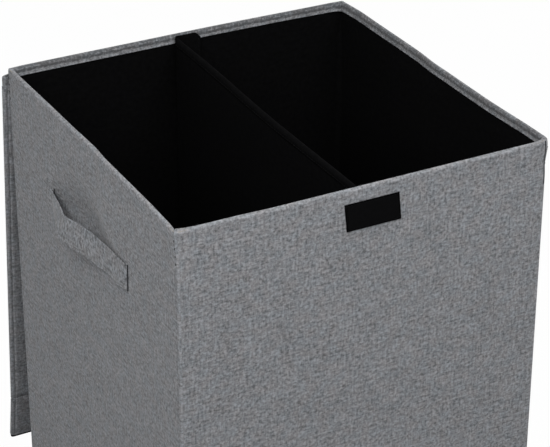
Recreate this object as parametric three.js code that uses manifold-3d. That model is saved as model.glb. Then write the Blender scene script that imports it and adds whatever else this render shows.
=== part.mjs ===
// Laundry hamper with two bins: fabric-covered boards, a lift-out divider, a lift-out base board,
// and a lid on a cloth hinge, shown hanging open behind the back wall, with a flap along its far edge.
// Millimetres, +Z up, +X to the right along the front, +Y to the back.
// The origin is the middle of the underside, on the floor.
import * as THREE from "three";
import { mergeVertices } from "three/addons/utils/BufferGeometryUtils.js";
import Module from "manifold-3d";

// Overall size of the closed body, over the fabric
const bodyWidth = 400;
const bodyDepth = 405;
const bodyHeight = 600;

// Layers of the walls
const clothThick = 0.6; // grey outer cloth
const boardThick = 2; // stiffening board in every wall
const liningThick = 0.4; // black lining
const layerGap = 0.3; // air between neighbouring layers
const cornerSeamGap = 0.45; // along the wall, between two panels at a corner seam
const boardEndGap = 1; // board end short of the board round the corner
const creaseGap = 4; // soft crease between the two half boards of a side wall
const hemDrop = 11; // outer cloth turned over the rim and down the inside

// Lift-out base board
const baseBoardThick = 2.5;
const baseBoardClearance = 1.3; // all round, so that it lifts past the hem and the tapes
const baseWrapThick = 0.4;

// Divider
const dividerOffset = -10; // middle of the divider, left of the middle of the body
const dividerBoardThick = 2;
const dividerClothThick = 0.4;
const dividerTopDrop = 3; // below the rim
const dividerBindingDrop = 9; // binding folded over the top edge
const flangeWidth = 30; // sewn to each end of the divider, turned to the right
const flangeThick = 0.6;
const flangeFoot = 8; // bottom of the flange above the divider's foot
const stripThick = 0.8; // hook or loop tape
const stripWidth = 20;
const stripTopDrop = 18; // top of the tapes below the rim
const stripFoot = 40; // bottom of the tapes above the floor

// Fastening patch at the front and its mate on the flap
const patchWidth = 59.5;
const patchHeight = 29.5;
const patchDrop = 14.4; // top of the patch below the rim
const patchShift = 4; // right of the middle
const patchThick = 1;

// Carrying straps on the side walls
const slitDistance = 181; // between the two slits of a strap
const strapWidth = 29;
const strapThick = 1.4;
const strapDrop = 107; // middle of the strap below the rim
const strapBow = 12; // most that the strap's middle line stands off its flat run
const strapTail = 13; // end of the strap behind the cloth
const slitClearance = 0.3;
const windowMargin = 3; // window in the board, round the strap's tail

// Lid, its cloth hinge and its flap
const lidOverhang = 6; // past the body on each side, the width of the sewn border
const hingeDrop = 9; // hinge seam below the rim, on the back wall
const hingeTabHeight = 7;
const hingeTabThick = 0.6;
const hingeStripThick = 1.2;
const lidBoardThick = 2;
const lidRestGap = 0.3; // under the closed lid's lining
const foldGap = 1; // bare cloth on either side of a fold line
const boardMargin = 0.5; // slack round a board in its cover
const flapLength = 55;
const hangAngle = THREE.MathUtils.degToRad(5.3); // open lid, off the vertical
const flapSetAngle = THREE.MathUtils.degToRad(5.5); // set left in the flap's crease

const wasm = await Module();
wasm.setup();

// Finishes
const finish = (color, roughness) => new THREE.MeshStandardMaterial({ color, roughness, metalness: 0 });
const greyCloth = () => finish(0x74787b, 0.92);
const blackCloth = () => finish(0x0b0b0c, 0.95);
const greyBoard = () => finish(0x8d8578, 0.9);
const hookTape = () => finish(0x08080a, 0.8);

function addPiece(parent, name, geometry, material) {
  const mesh = new THREE.Mesh(geometry, material);
  mesh.name = name;
  parent.add(mesh);
  return mesh;
}

// A block between two corners, each given as [x, y, z].
function block(low, high) {
  const size = high.map((value, axis) => value - low[axis]);
  const geometry = new THREE.BoxGeometry(...size);
  return geometry.translate(...low.map((value, axis) => value + size[axis] / 2));
}

function toSolid(geometry) {
  const bare = new THREE.BufferGeometry();
  const source = geometry.index ? geometry.toNonIndexed() : geometry;
  bare.setAttribute("position", source.getAttribute("position"));
  const merged = mergeVertices(bare);
  const mesh = new wasm.Mesh({
    numProp: 3,
    vertProperties: new Float32Array(merged.attributes.position.array),
    triVerts: new Uint32Array(merged.index.array),
  });
  return new wasm.Manifold(mesh);
}

function toGeometry(solid) {
  const mesh = solid.getMesh();
  const geometry = new THREE.BufferGeometry();
  geometry.setAttribute("position", new THREE.BufferAttribute(mesh.vertProperties, mesh.numProp));
  geometry.setIndex(new THREE.BufferAttribute(mesh.triVerts, 1));
  return geometry;
}

function cut(geometry, tools) {
  const solid = tools.reduce((left, tool) => left.subtract(toSolid(tool)), toSolid(geometry));
  return toGeometry(solid);
}

function join(pieces) {
  return toGeometry(pieces.map(toSolid).reduce((all, piece) => all.add(piece)));
}

// Depths of the wall's layers, measured inwards from its outer face
const boardFront = clothThick + layerGap;
const boardBack = boardFront + boardThick;
const liningFront = boardBack + layerGap;
const liningBack = liningFront + liningThick;
const hemFront = liningBack + layerGap;
const hemBack = hemFront + clothThick;
const loopFront = liningBack + layerGap;
const loopBack = loopFront + stripThick;
const hookFront = loopBack + layerGap;
const hookBack = hookFront + stripThick;
const flangeFront = hookBack + layerGap;
const flangeBack = flangeFront + flangeThick;

// Heights of the base's layers
const baseClothTop = clothThick;
const boardFoot = baseClothTop + layerGap;
const basePackTop = boardFoot + 2 * (baseWrapThick + layerGap) + baseBoardThick;
const boardTop = bodyHeight - clothThick - layerGap;

// A layer of a wall: a closed outline of [depth, height], run along the wall and mitred at both corners.
function wallLayer(outline, wallLength) {
  const shape = new THREE.Shape(outline.map(([depth, height]) => new THREE.Vector2(depth, height)));
  const geometry = new THREE.ExtrudeGeometry(shape, { depth: 1, bevelEnabled: false });
  const place = geometry.attributes.position;
  for (let i = 0; i < place.count; i++) {
    const depth = place.getX(i);
    const end = 2 * place.getZ(i) - 1;
    const reach = wallLength / 2 - depth - cornerSeamGap / 2;
    place.setXYZ(i, end * reach, depth, place.getY(i));
  }
  return geometry;
}

// Outer cloth: up the outside, over the rim and down the inside as a hem.
function coverLayer(wallLength) {
  const outline = [
    [0, 0],
    [clothThick, 0],
    [clothThick, bodyHeight - clothThick],
    [hemFront, bodyHeight - clothThick],
    [hemFront, bodyHeight - clothThick - hemDrop],
    [hemBack, bodyHeight - clothThick - hemDrop],
    [hemBack, bodyHeight],
    [0, bodyHeight],
  ];
  return wallLayer(outline, wallLength);
}

function liningLayer(wallLength) {
  const outline = [
    [liningFront, boardFoot],
    [liningBack, boardFoot],
    [liningBack, boardTop - layerGap],
    [liningFront, boardTop - layerGap],
  ];
  return wallLayer(outline, wallLength);
}

// Half the length of the boards in a wall, so that they clear the boards round the corner
const boardReach = (wallLength) => wallLength / 2 - boardBack - boardEndGap;

// Each wall has a group of its own: x along the wall, y inwards from its outer face, z up.
function wallGroup(turn, distance) {
  const group = new THREE.Group();
  group.rotation.z = turn;
  group.position.set(Math.sin(turn) * distance, -Math.cos(turn) * distance, 0);
  return group;
}

function makeEndWall(name, turn) {
  const wall = wallGroup(turn, bodyDepth / 2);
  const reach = boardReach(bodyWidth);
  addPiece(wall, `${name}_cover`, coverLayer(bodyWidth), greyCloth());
  addPiece(wall, `${name}_lining`, liningLayer(bodyWidth), blackCloth());
  const board = block([-reach, boardFront, boardFoot], [reach, boardBack, boardTop]);
  addPiece(wall, `${name}_board`, board, greyBoard());
  return wall;
}

const strapMiddle = bodyHeight - strapDrop;
const slitPlace = slitDistance / 2;

// Half of a side wall's stiffening, from the crease to the corner, with a window for the strap's tail.
function halfBoard(direction) {
  const reach = boardReach(bodyDepth);
  const ends = [direction * (creaseGap / 2), direction * reach].sort((a, b) => a - b);
  const board = block([ends[0], boardFront, boardFoot], [ends[1], boardBack, boardTop]);
  const windowEnds = [
    direction * (slitPlace - strapThick / 2 - windowMargin),
    direction * (slitPlace + strapTail + windowMargin),
  ].sort((a, b) => a - b);
  const windowHalf = strapWidth / 2 + windowMargin;
  const window = block(
    [windowEnds[0], boardFront - layerGap, strapMiddle - windowHalf],
    [windowEnds[1], boardBack + layerGap, strapMiddle + windowHalf],
  );
  return cut(board, [window]);
}

// Height of the strap's bow along its run, as shares of half the slit distance and of the bow.
// The strap is slack and stands out most towards one end, as it was last let go.
const bowShares = [
  [-1, 0],
  [-0.92, 0.03],
  [-0.7, 0.09],
  [-0.35, 0.26],
  [0, 0.55],
  [0.3, 0.86],
  [0.5, 1],
  [0.66, 0.88],
  [0.82, 0.45],
  [0.94, 0.1],
  [1, 0],
];

// Middle line of the strap in plan, as [along, outwards]. Its two tails lie in the boards' windows.
function strapLine(rearSide) {
  const flat = layerGap + strapThick / 2;
  const inside = -(clothThick + layerGap + strapThick / 2);
  const knots = bowShares.map(
    ([alongShare, bowShare]) =>
      new THREE.Vector2(rearSide * alongShare * slitPlace, flat + bowShare * strapBow),
  );
  const run = new THREE.SplineCurve(knots).getPoints(bowShares.length * 2);
  const first = run[0].x;
  const last = run[run.length - 1].x;
  const tailEnd = (slit) => new THREE.Vector2(slit + Math.sign(slit) * strapTail, inside);
  const tailRoot = (slit) => new THREE.Vector2(slit, inside);
  return [tailEnd(first), tailRoot(first), ...run, tailRoot(last), tailEnd(last)];
}

// Outline of a band of even thickness along a line, with mitred turns.
function bandShape(line, thick) {
  const sides = [[], []];
  line.forEach((point, i) => {
    const before = line[Math.max(i - 1, 0)];
    const after = line[Math.min(i + 1, line.length - 1)];
    const into = (i > 0 ? point.clone().sub(before) : after.clone().sub(point)).normalize();
    const out = (i < line.length - 1 ? after.clone().sub(point) : into.clone()).normalize();
    const normal = new THREE.Vector2(-into.y - out.y, into.x + out.x).normalize();
    const half = thick / 2 / Math.abs(normal.dot(new THREE.Vector2(-into.y, into.x)));
    sides[0].push(point.clone().addScaledVector(normal, half));
    sides[1].unshift(point.clone().addScaledVector(normal, -half));
  });
  return new THREE.Shape([...sides[0], ...sides[1]]);
}

// The line's second value points outwards, so the strap's outline is drawn with y reversed.
function strapPiece(rearSide) {
  const line = strapLine(rearSide).map((point) => new THREE.Vector2(point.x, -point.y));
  const geometry = new THREE.ExtrudeGeometry(bandShape(line, strapThick), {
    depth: strapWidth,
    bevelEnabled: false,
  });
  return geometry.translate(0, 0, strapMiddle - strapWidth / 2);
}

function makeSideWall(name, turn, rearSide) {
  const wall = wallGroup(turn, bodyWidth / 2);
  const slitHalf = strapThick / 2 + slitClearance;
  const slitHeight = strapWidth / 2 + slitClearance;
  const slits = [-1, 1].map((side) =>
    block(
      [side * slitPlace - slitHalf, -layerGap, strapMiddle - slitHeight],
      [side * slitPlace + slitHalf, clothThick + layerGap, strapMiddle + slitHeight],
    ),
  );
  addPiece(wall, `${name}_cover`, cut(coverLayer(bodyDepth), slits), greyCloth());
  addPiece(wall, `${name}_lining`, liningLayer(bodyDepth), blackCloth());
  addPiece(wall, `${name}_rear_board`, halfBoard(rearSide), greyBoard());
  addPiece(wall, `${name}_front_board`, halfBoard(-rearSide), greyBoard());
  addPiece(wall, `${name}_handle_strap`, strapPiece(rearSide), greyCloth());
  return wall;
}

// Loop tape on an end wall's lining, behind the divider's flange.
const flangeLeft = dividerOffset - dividerBoardThick / 2 - layerGap - dividerClothThick;
const stripMiddle = flangeLeft + flangeWidth / 2;

function tape(middle, front, back) {
  return block(
    [middle - stripWidth / 2, front, stripFoot],
    [middle + stripWidth / 2, back, bodyHeight - stripTopDrop],
  );
}

function makeBody() {
  const body = new THREE.Group();
  const front = makeEndWall("front", 0);
  const back = makeEndWall("back", Math.PI);
  const left = makeSideWall("left", -Math.PI / 2, -1);
  const right = makeSideWall("right", Math.PI / 2, 1);
  body.add(front, back, left, right);

  addPiece(front, "front_divider_loop_strip", tape(stripMiddle, loopFront, loopBack), hookTape());
  addPiece(back, "back_divider_loop_strip", tape(-stripMiddle, loopFront, loopBack), hookTape());

  const patchTop = bodyHeight - patchDrop;
  const patch = block(
    [patchShift - patchWidth / 2, -layerGap - patchThick, patchTop - patchHeight],
    [patchShift + patchWidth / 2, -layerGap, patchTop],
  );
  addPiece(front, "front_loop_patch", patch, hookTape());

  const seam = bodyHeight - hingeDrop;
  const tab = block(
    [-bodyWidth / 2, -layerGap - hingeTabThick, seam],
    [bodyWidth / 2, -layerGap, seam + hingeTabHeight],
  );
  addPiece(back, "lid_hinge_tab", tab, greyCloth());

  const clothReach = [bodyWidth / 2, bodyDepth / 2].map((half) => half - clothThick - layerGap);
  const baseCloth = block([-clothReach[0], -clothReach[1], 0], [...clothReach, baseClothTop]);
  addPiece(body, "base_cloth", baseCloth, blackCloth());
  return body;
}

// The base board lies loose on the base cloth, wrapped in lining cloth that is open along its left edge.
function makeBaseBoard() {
  const group = new THREE.Group();
  const inset = Math.max(hemBack, loopBack) + baseBoardClearance;
  const reach = [bodyWidth / 2 - inset, bodyDepth / 2 - inset];
  const slack = baseWrapThick + layerGap;
  const core = reach.map((half) => half - slack);
  const coreFoot = boardFoot + slack;
  const coreTop = coreFoot + baseBoardThick;
  const wrap = block([-reach[0], -reach[1], boardFoot], [...reach, basePackTop]);
  const pocket = block(
    [-reach[0] - layerGap, -core[1] - layerGap, coreFoot - layerGap],
    [core[0] + layerGap, core[1] + layerGap, coreTop + layerGap],
  );
  addPiece(group, "base_board_wrap", cut(wrap, [pocket]), blackCloth());
  addPiece(group, "base_board", block([-core[0], -core[1], coreFoot], [...core, coreTop]), greyBoard());
  return group;
}

// The divider stands on the base board: a board in a sleeve, bound along the top, with a flange at each end.
function makeDivider() {
  const group = new THREE.Group();
  const foot = basePackTop + layerGap;
  const top = bodyHeight - dividerTopDrop;
  const sleeveHalf = dividerBoardThick / 2 + layerGap + dividerClothThick;
  const sleeveReach = bodyDepth / 2 - flangeBack - layerGap;
  const pocketHalf = dividerBoardThick / 2 + layerGap;
  const pocketReach = sleeveReach - dividerClothThick;
  const bindingInner = sleeveHalf + layerGap;
  const bindingHalf = bindingInner + dividerClothThick;
  const sleeveTop = top - dividerClothThick - layerGap;

  const sleeve = block(
    [dividerOffset - sleeveHalf, -sleeveReach, foot],
    [dividerOffset + sleeveHalf, sleeveReach, sleeveTop],
  );
  const pocket = block(
    [dividerOffset - pocketHalf, -pocketReach, foot - layerGap],
    [dividerOffset + pocketHalf, pocketReach, sleeveTop + layerGap],
  );
  addPiece(group, "divider_sleeve", cut(sleeve, [pocket]), blackCloth());

  const boardReachAlong = pocketReach - layerGap;
  const board = block(
    [dividerOffset - dividerBoardThick / 2, -boardReachAlong, foot],
    [dividerOffset + dividerBoardThick / 2, boardReachAlong, sleeveTop],
  );
  addPiece(group, "divider_board", board, greyBoard());

  const binding = block(
    [dividerOffset - bindingHalf, -sleeveReach, top - dividerBindingDrop],
    [dividerOffset + bindingHalf, sleeveReach, top],
  );
  const bindingSlot = block(
    [dividerOffset - bindingInner, -sleeveReach - layerGap, top - dividerBindingDrop - layerGap],
    [dividerOffset + bindingInner, sleeveReach + layerGap, top - dividerClothThick],
  );
  addPiece(group, "divider_top_binding", cut(binding, [bindingSlot]), blackCloth());

  for (const [name, side] of [
    ["front", -1],
    ["back", 1],
  ]) {
    const place = (depth) => side * (bodyDepth / 2 - depth);
    const span = (near, far) => [place(near), place(far)].sort((a, b) => a - b);
    const [flangeLow, flangeHigh] = span(flangeFront, flangeBack);
    const [hookLow, hookHigh] = span(hookFront, hookBack);
    const flange = block(
      [flangeLeft, flangeLow, foot + flangeFoot],
      [flangeLeft + flangeWidth, flangeHigh, top],
    );
    addPiece(group, `divider_${name}_flange`, flange, blackCloth());
    addPiece(group, `divider_${name}_hook_strip`, tape(stripMiddle, hookLow, hookHigh), hookTape());
  }
  return group;
}

// Lid panels are built hanging from a fold line at their own origin: down is away from the fold,
// -y is the grey outer side and +y the black lining side.
const panelHalf = bodyWidth / 2 + lidOverhang;
const panelBoardHalf = lidBoardThick / 2;
const coverFace = panelBoardHalf + layerGap + clothThick;
const liningFace = panelBoardHalf + layerGap + liningThick;

function panelBlock(half, near, far, outer, inner) {
  return block([-half, outer, -far], [half, inner, -near]);
}

// A board between outer cloth and lining, which are sewn together in a flat border all round.
function addPanel(group, name, near, far) {
  const boardNear = near + lidOverhang;
  const boardFar = far - lidOverhang;
  const boardHalf = panelHalf - lidOverhang - boardMargin;
  const pocketHalf = boardHalf + boardMargin / 2;
  const pocketNear = boardNear - boardMargin / 2;
  const pocketFar = boardFar + boardMargin / 2;
  const swell = [pocketHalf + clothThick, pocketNear - clothThick, pocketFar + clothThick];
  const coverPocket = panelBlock(pocketHalf, pocketNear, pocketFar, clothThick - coverFace, layerGap);
  const coverSheet = join([
    panelBlock(panelHalf, near, far, -clothThick, 0),
    panelBlock(...swell, -coverFace, 0),
  ]);
  const liningSheet = join([
    panelBlock(panelHalf, near, far, layerGap, layerGap + liningThick),
    panelBlock(...swell, layerGap, liningFace),
  ]);
  const liningPocket = panelBlock(pocketHalf, pocketNear, pocketFar, 0, liningFace - liningThick);
  const board = panelBlock(boardHalf, boardNear, boardFar, -panelBoardHalf, panelBoardHalf);
  addPiece(group, `${name}_cover`, cut(coverSheet, [coverPocket]), greyCloth());
  addPiece(group, `${name}_lining`, cut(liningSheet, [liningPocket]), blackCloth());
  addPiece(group, `${name}_board`, board, greyBoard());
}

function makeLid() {
  const hingeOut = 2 * layerGap + hingeTabThick + hingeStripThick / 2;
  const closedHeight = liningFace + lidRestGap; // fold line of the closed lid above the rim
  const stripLength = hingeDrop + closedHeight;
  const patchReach = 3 * layerGap + 2 * patchThick + liningFace; // closed flap's middle off the front wall
  const lidLength = bodyDepth + hingeOut + patchReach;

  const seam = new THREE.Group();
  seam.position.set(0, bodyDepth / 2 + hingeOut, bodyHeight - hingeDrop);
  seam.rotation.x = hangAngle;
  const stripHalf = hingeStripThick / 2;
  const strip = panelBlock(panelHalf, foldGap / 2, stripLength - foldGap / 2, -stripHalf, stripHalf);
  addPiece(seam, "lid_hinge_strip", strip, greyCloth());

  const lid = new THREE.Group();
  lid.position.z = -stripLength;
  addPanel(lid, "lid", foldGap, lidLength - foldGap);
  seam.add(lid);

  const flap = new THREE.Group();
  flap.position.z = -lidLength;
  flap.rotation.x = flapSetAngle;
  addPanel(flap, "flap", foldGap, flapLength);
  const patchNear = closedHeight + patchDrop;
  const patch = panelBlock(
    patchWidth / 2,
    patchNear,
    patchNear + patchHeight,
    liningFace + layerGap,
    liningFace + layerGap + patchThick,
  ).translate(patchShift, 0, 0);
  addPiece(flap, "flap_hook_patch", patch, hookTape());
  lid.add(flap);
  return seam;
}

const hamper = new THREE.Group();
hamper.add(makeBody(), makeBaseBoard(), makeDivider(), makeLid());

export default hamper;
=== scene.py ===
# Laundry hamper with two bins: grey cloth over boards, black inside, lid hanging open behind.
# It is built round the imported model. Sizes below are in millimetres unless a note says otherwise.
import math
import bmesh
import bpy
from mathutils import Matrix, Vector, noise


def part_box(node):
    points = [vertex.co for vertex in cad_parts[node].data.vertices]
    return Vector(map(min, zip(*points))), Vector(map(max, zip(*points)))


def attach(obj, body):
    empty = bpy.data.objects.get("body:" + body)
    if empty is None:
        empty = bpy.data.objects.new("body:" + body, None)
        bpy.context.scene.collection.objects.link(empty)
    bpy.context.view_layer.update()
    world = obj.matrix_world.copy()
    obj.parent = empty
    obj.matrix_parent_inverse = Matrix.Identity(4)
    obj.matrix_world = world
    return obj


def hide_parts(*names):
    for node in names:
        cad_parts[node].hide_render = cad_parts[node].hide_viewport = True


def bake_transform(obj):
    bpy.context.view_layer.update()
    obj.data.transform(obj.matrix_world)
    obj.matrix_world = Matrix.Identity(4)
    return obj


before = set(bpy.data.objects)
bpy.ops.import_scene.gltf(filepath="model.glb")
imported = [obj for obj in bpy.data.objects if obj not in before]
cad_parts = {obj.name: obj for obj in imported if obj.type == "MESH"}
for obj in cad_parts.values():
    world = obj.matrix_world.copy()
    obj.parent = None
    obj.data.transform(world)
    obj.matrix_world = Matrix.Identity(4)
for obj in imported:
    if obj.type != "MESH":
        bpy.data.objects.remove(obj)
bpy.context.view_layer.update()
mm = 0.001  # metres in a millimetre
print("frame loaded")


def ease(value, start, end):
    share = min(max((value - start) / (end - start), 0), 1)
    return share * share * (3 - 2 * share)


def between(knots, value):
    # smooth value between (place, value) knots, sorted by place
    if value <= knots[0][0]:
        return knots[0][1]
    for (placeA, valueA), (placeB, valueB) in zip(knots, knots[1:]):
        if value <= placeB:
            return valueA + (valueB - valueA) * ease(value, placeA, placeB)
    return knots[-1][1]


def bell(value, middle, reach):
    return math.exp(-((value - middle) / reach) ** 2)


def stopsBetween(low, high, step, extra=(), insets=()):
    # even places from low to high; the extra ones and those in from both ends stay, and even ones too
    # near to them go
    extra = [*extra, *(low + inset for inset in insets), *(high - inset for inset in insets)]
    count = max(1, round((high - low) / step))
    fixed = sorted({low, high} | {round(place, 4) for place in extra if low < place < high})
    even = [low + (high - low) * i / count for i in range(1, count)]
    kept = [place for place in even if min(abs(place - other) for other in fixed) > step * 0.35]
    return sorted(fixed + kept)


def lengthsAlong(points):
    # the distance of each point from the first, along the line
    lengths = [0]
    for pointA, pointB in zip(points, points[1:]):
        lengths.append(lengths[-1] + math.dist(pointA, pointB))
    return lengths


def ripple(across, along, size, seed):
    return noise.noise(Vector((across / size, along / size, seed)))


def boxOf(node):
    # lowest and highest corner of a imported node
    return [[value / mm for value in corner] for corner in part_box(node)]


def newObject(name, mesh):
    piece = bpy.data.objects.new(name, mesh)
    bpy.context.scene.collection.objects.link(piece)
    return piece


def sheetPiece(name, rows, across, along, thick, closed=False, flip=False, hole=None, toneMark=None):
    # a sheet of cloth from rows of points; across and along are its own measures, for the weave
    count = len(rows[0])
    faces, marks = [], []
    for i in range(len(rows) - 1):
        for j in range(count if closed else count - 1):
            if hole and hole(i, j):
                continue
            k = (j + 1) % count
            corner = [(i, j, j), (i, k, j + 1), (i + 1, k, j + 1), (i + 1, j, j)]
            if flip:
                corner.reverse()
            faces.append([a * count + b for a, b, c in corner])
            marks.append([(across[c] * mm, along[a] * mm) for a, b, c in corner])
    mesh = bpy.data.meshes.new(name)
    mesh.from_pydata([[value * mm for value in point] for row in rows for point in row], [], faces)
    layer = mesh.uv_layers.new(name="cloth")
    for polygon, mark in zip(mesh.polygons, marks):
        for loop, value in zip(polygon.loop_indices, mark):
            layer.data[loop].uv = value
    if toneMark:
        toneLayer = mesh.attributes.new("toneMark", "FLOAT", "POINT")
        for i in range(len(rows)):
            for j in range(count):
                toneLayer.data[i * count + j].value = toneMark(i, j)
    mesh.shade_smooth()
    piece = newObject(name, mesh)
    if thick:
        wall = piece.modifiers.new("cloth thickness", "SOLIDIFY")
        wall.thickness = thick * mm
        wall.offset = -1
        wall.use_even_offset = False
        makeSolid(piece)
    return piece


def makeSolid(piece):
    # put what the modifiers make into the mesh, and take them off
    ready = piece.evaluated_get(bpy.context.evaluated_depsgraph_get())
    mesh = bpy.data.meshes.new_from_object(ready)
    piece.modifiers.clear()
    piece.data = mesh
    mesh.name = piece.name


def finishPiece(piece, look, slotName, body=None, nodes=()):
    piece.data.materials.clear()
    piece.data.materials.append(look)
    if body:
        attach(piece, body)
    if nodes:
        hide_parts(*nodes)


def addNode(tree, kind, inputs=None, **settings):
    node = tree.nodes.new(kind)
    for key, value in settings.items():
        setattr(node, key, value)
    for key, value in (inputs or {}).items():
        if isinstance(value, bpy.types.NodeSocket):
            tree.links.new(value, node.inputs[key])
        else:
            node.inputs[key].default_value = value
    return node


def startLook(name, roughness, specular):
    look = bpy.data.materials.new(name)
    look.use_nodes = True
    tree = look.node_tree
    tree.nodes.clear()
    shader = addNode(tree, "ShaderNodeBsdfPrincipled",
                     {"Roughness": roughness, "Specular IOR Level": specular})
    out = addNode(tree, "ShaderNodeOutputMaterial")
    tree.links.new(shader.outputs["BSDF"], out.inputs["Surface"])
    return look, tree, shader


def clothPlace(tree):
    return addNode(tree, "ShaderNodeUVMap", uv_map="cloth").outputs["UV"]


def objectPlace(tree):
    return addNode(tree, "ShaderNodeTexCoord").outputs["Object"]


def grain(tree, place, sizes, detail=2.0, roughness=0.5, layer=None):
    # noise with spots of these sizes; a sheet's noise has two sizes and a layer, apart from the others'
    scale = [1 / (size * mm) for size in sizes] + ([] if layer is None else [layer])
    moved = addNode(tree, "ShaderNodeMapping", {"Vector": place, "Scale": scale})
    texture = addNode(tree, "ShaderNodeTexNoise", {"Vector": moved.outputs["Vector"], "Scale": 1.0,
                                                   "Detail": detail, "Roughness": roughness})
    return texture.outputs["Fac"]


def calc(tree, operation, first, second):
    return addNode(tree, "ShaderNodeMath", {0: first, 1: second}, operation=operation).outputs["Value"]


def weightedTone(tree, parts):
    # 0.5 with each noise's swing about its middle added
    tone = 0.5 - sum(weight for socket, weight in parts) / 2
    for socket, weight in parts:
        tone = calc(tree, "ADD", calc(tree, "MULTIPLY", socket, weight), tone)
    return tone


def mixColor(tree, share, dark, light, blend="MIX"):
    node = addNode(tree, "ShaderNodeMix", data_type="RGBA", blend_type=blend, clamp_factor=True)
    for index, value in ((0, share), (6, dark), (7, light)):  # the sockets of a colour mix
        if isinstance(value, bpy.types.NodeSocket):
            tree.links.new(value, node.inputs[index])
        else:
            node.inputs[index].default_value = value if index == 0 else (*value, 1.0)
    return node.outputs[2]


def addBump(tree, shader, height, strength, distance):
    bump = addNode(tree, "ShaderNodeBump",
                   {"Strength": strength, "Distance": distance * mm, "Height": height})
    tree.links.new(bump.outputs["Normal"], shader.inputs["Normal"])


def threadWaves(tree, place, pitch):
    # over and under of a plain weave
    parts = addNode(tree, "ShaderNodeSeparateXYZ", {"Vector": place})
    turns = 2 * math.pi / (pitch * mm)
    waves = [calc(tree, "SINE", calc(tree, "MULTIPLY", parts.outputs[axis], turns), 0.0) for axis in "XY"]
    return calc(tree, "MULTIPLY", waves[0], waves[1])


greyClothLook = {
    "roughness": 0.92, "specular": 0.22, "sheen": 0.12, "sheenRoughness": 0.6,
    "dark": (0.082, 0.084, 0.0886),
    "light": (0.298, 0.305, 0.3218),
    "coolTint": (0.965, 1.0, 1.02),
    "warmTint": (1.03, 1.0, 0.985),
    "hueSize": 13.0, "hueSpread": 3.0,
    "blotch": 1.65, "blotchSize": 3.3,
    "slub": 0.75, "slubLength": 15.0, "slubThick": 1.9,
    "grain": 0.9, "grainSize": 1.6,
    "patch": 0.25, "patchSize": 32.0,
    "fleck": 3.2, "fleckLength": 4.2, "fleckThick": 3.0, "fleckFrom": 0.62,  # pale fibres here and there
    "toneMarkLift": 0.15,
    "weavePitch": 0.85, "weaveShare": 0.35, "toneShare": 0.9,  # in the bump
    "bump": 0.55, "bumpHeight": 0.16,
}


def makeGreyCloth(name, lift=1.0, contrast=1.0):
    make = greyClothLook
    look, tree, shader = startLook(name, make["roughness"], make["specular"])
    shader.inputs["Sheen Weight"].default_value = make["sheen"]
    shader.inputs["Sheen Roughness"].default_value = make["sheenRoughness"]
    place = clothPlace(tree)
    blotch = grain(tree, place, [make["blotchSize"]] * 2, 1.5, layer=1)
    weft = grain(tree, place, (make["slubLength"], make["slubThick"]), 1.0, layer=1)
    warp = grain(tree, place, (make["slubThick"], make["slubLength"]), 1.0, layer=3)
    fine = grain(tree, place, [make["grainSize"]] * 2, 1.0, layer=5)
    patch = grain(tree, place, [make["patchSize"]] * 2, 1.0, layer=7)
    pale = grain(tree, place, (make["fleckLength"], make["fleckThick"]), 1.0, layer=13)
    fleck = calc(tree, "MAXIMUM", calc(tree, "SUBTRACT", pale, make["fleckFrom"]), 0.0)
    tone = weightedTone(tree, [(blotch, make["blotch"] * contrast), (weft, make["slub"]),
                               (warp, make["slub"]), (fine, make["grain"] * contrast),
                               (patch, make["patch"])])
    # this attribute shifts the tone: painted shade inside the rim and on the far rolls, painted light on the
    # lid's borders, and a lift over the rim and corners
    toneLayer = addNode(tree, "ShaderNodeAttribute", attribute_name="toneMark").outputs["Fac"]
    tone = calc(tree, "ADD", tone, calc(tree, "MULTIPLY", toneLayer, make["toneMarkLift"]))
    tone = calc(tree, "ADD", tone, calc(tree, "MULTIPLY", fleck, make["fleck"]))
    color = mixColor(tree, tone, [v * lift for v in make["dark"]], [v * lift for v in make["light"]])
    hue = grain(tree, place, [make["hueSize"]] * 2, 1.0, layer=11)
    hueShare = calc(tree, "ADD", calc(tree, "MULTIPLY", hue, make["hueSpread"]), (1 - make["hueSpread"]) / 2)
    tint = mixColor(tree, hueShare, make["coolTint"], make["warmTint"])
    tree.links.new(mixColor(tree, 1.0, color, tint, "MULTIPLY"), shader.inputs["Base Color"])
    weave = calc(tree, "MULTIPLY", threadWaves(tree, place, make["weavePitch"]), make["weaveShare"])
    height = calc(tree, "ADD", weave, calc(tree, "MULTIPLY", tone, make["toneShare"]))
    addBump(tree, shader, height, make["bump"], make["bumpHeight"])
    return look


blackClothLook = {
    "roughness": 0.92, "specular": 0.02,
    "dark": (0.0010, 0.0010, 0.0011),
    "light": (0.0050, 0.0050, 0.0053),
    "fibre": 1.1, "fibreSize": 1.1, "flock": 0.9, "flockSize": 5.0,
    "bump": 0.45, "bumpHeight": 0.12,
}


def makeBlackCloth(name, lift=1.0):
    make = blackClothLook
    look, tree, shader = startLook(name, make["roughness"], make["specular"])
    place = clothPlace(tree)
    fibre = grain(tree, place, [make["fibreSize"]] * 2, 3.0, 0.7, layer=1)
    flock = grain(tree, place, [make["flockSize"]] * 2, layer=4)
    tone = weightedTone(tree, [(fibre, make["fibre"]), (flock, make["flock"])])
    color = mixColor(tree, tone, [v * lift for v in make["dark"]], [v * lift for v in make["light"]])
    tree.links.new(color, shader.inputs["Base Color"])
    addBump(tree, shader, fibre, make["bump"], make["bumpHeight"])
    return look


tapeLook = {
    "loop": {"dark": (0.0006, 0.0006, 0.0007), "light": (0.0048, 0.0048, 0.0052), "size": 1.3, "bump": 0.8},
    "hook": {"dark": (0.0008, 0.0008, 0.0009), "light": (0.0080, 0.0080, 0.0086), "size": 0.9, "bump": 1.0},
    "roughness": 0.85, "specular": 0.02,
    "pile": 0.9, "cloud": 0.5, "cloudSize": 4,  # in pile sizes
    "bumpHeight": 0.3,
}


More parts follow.
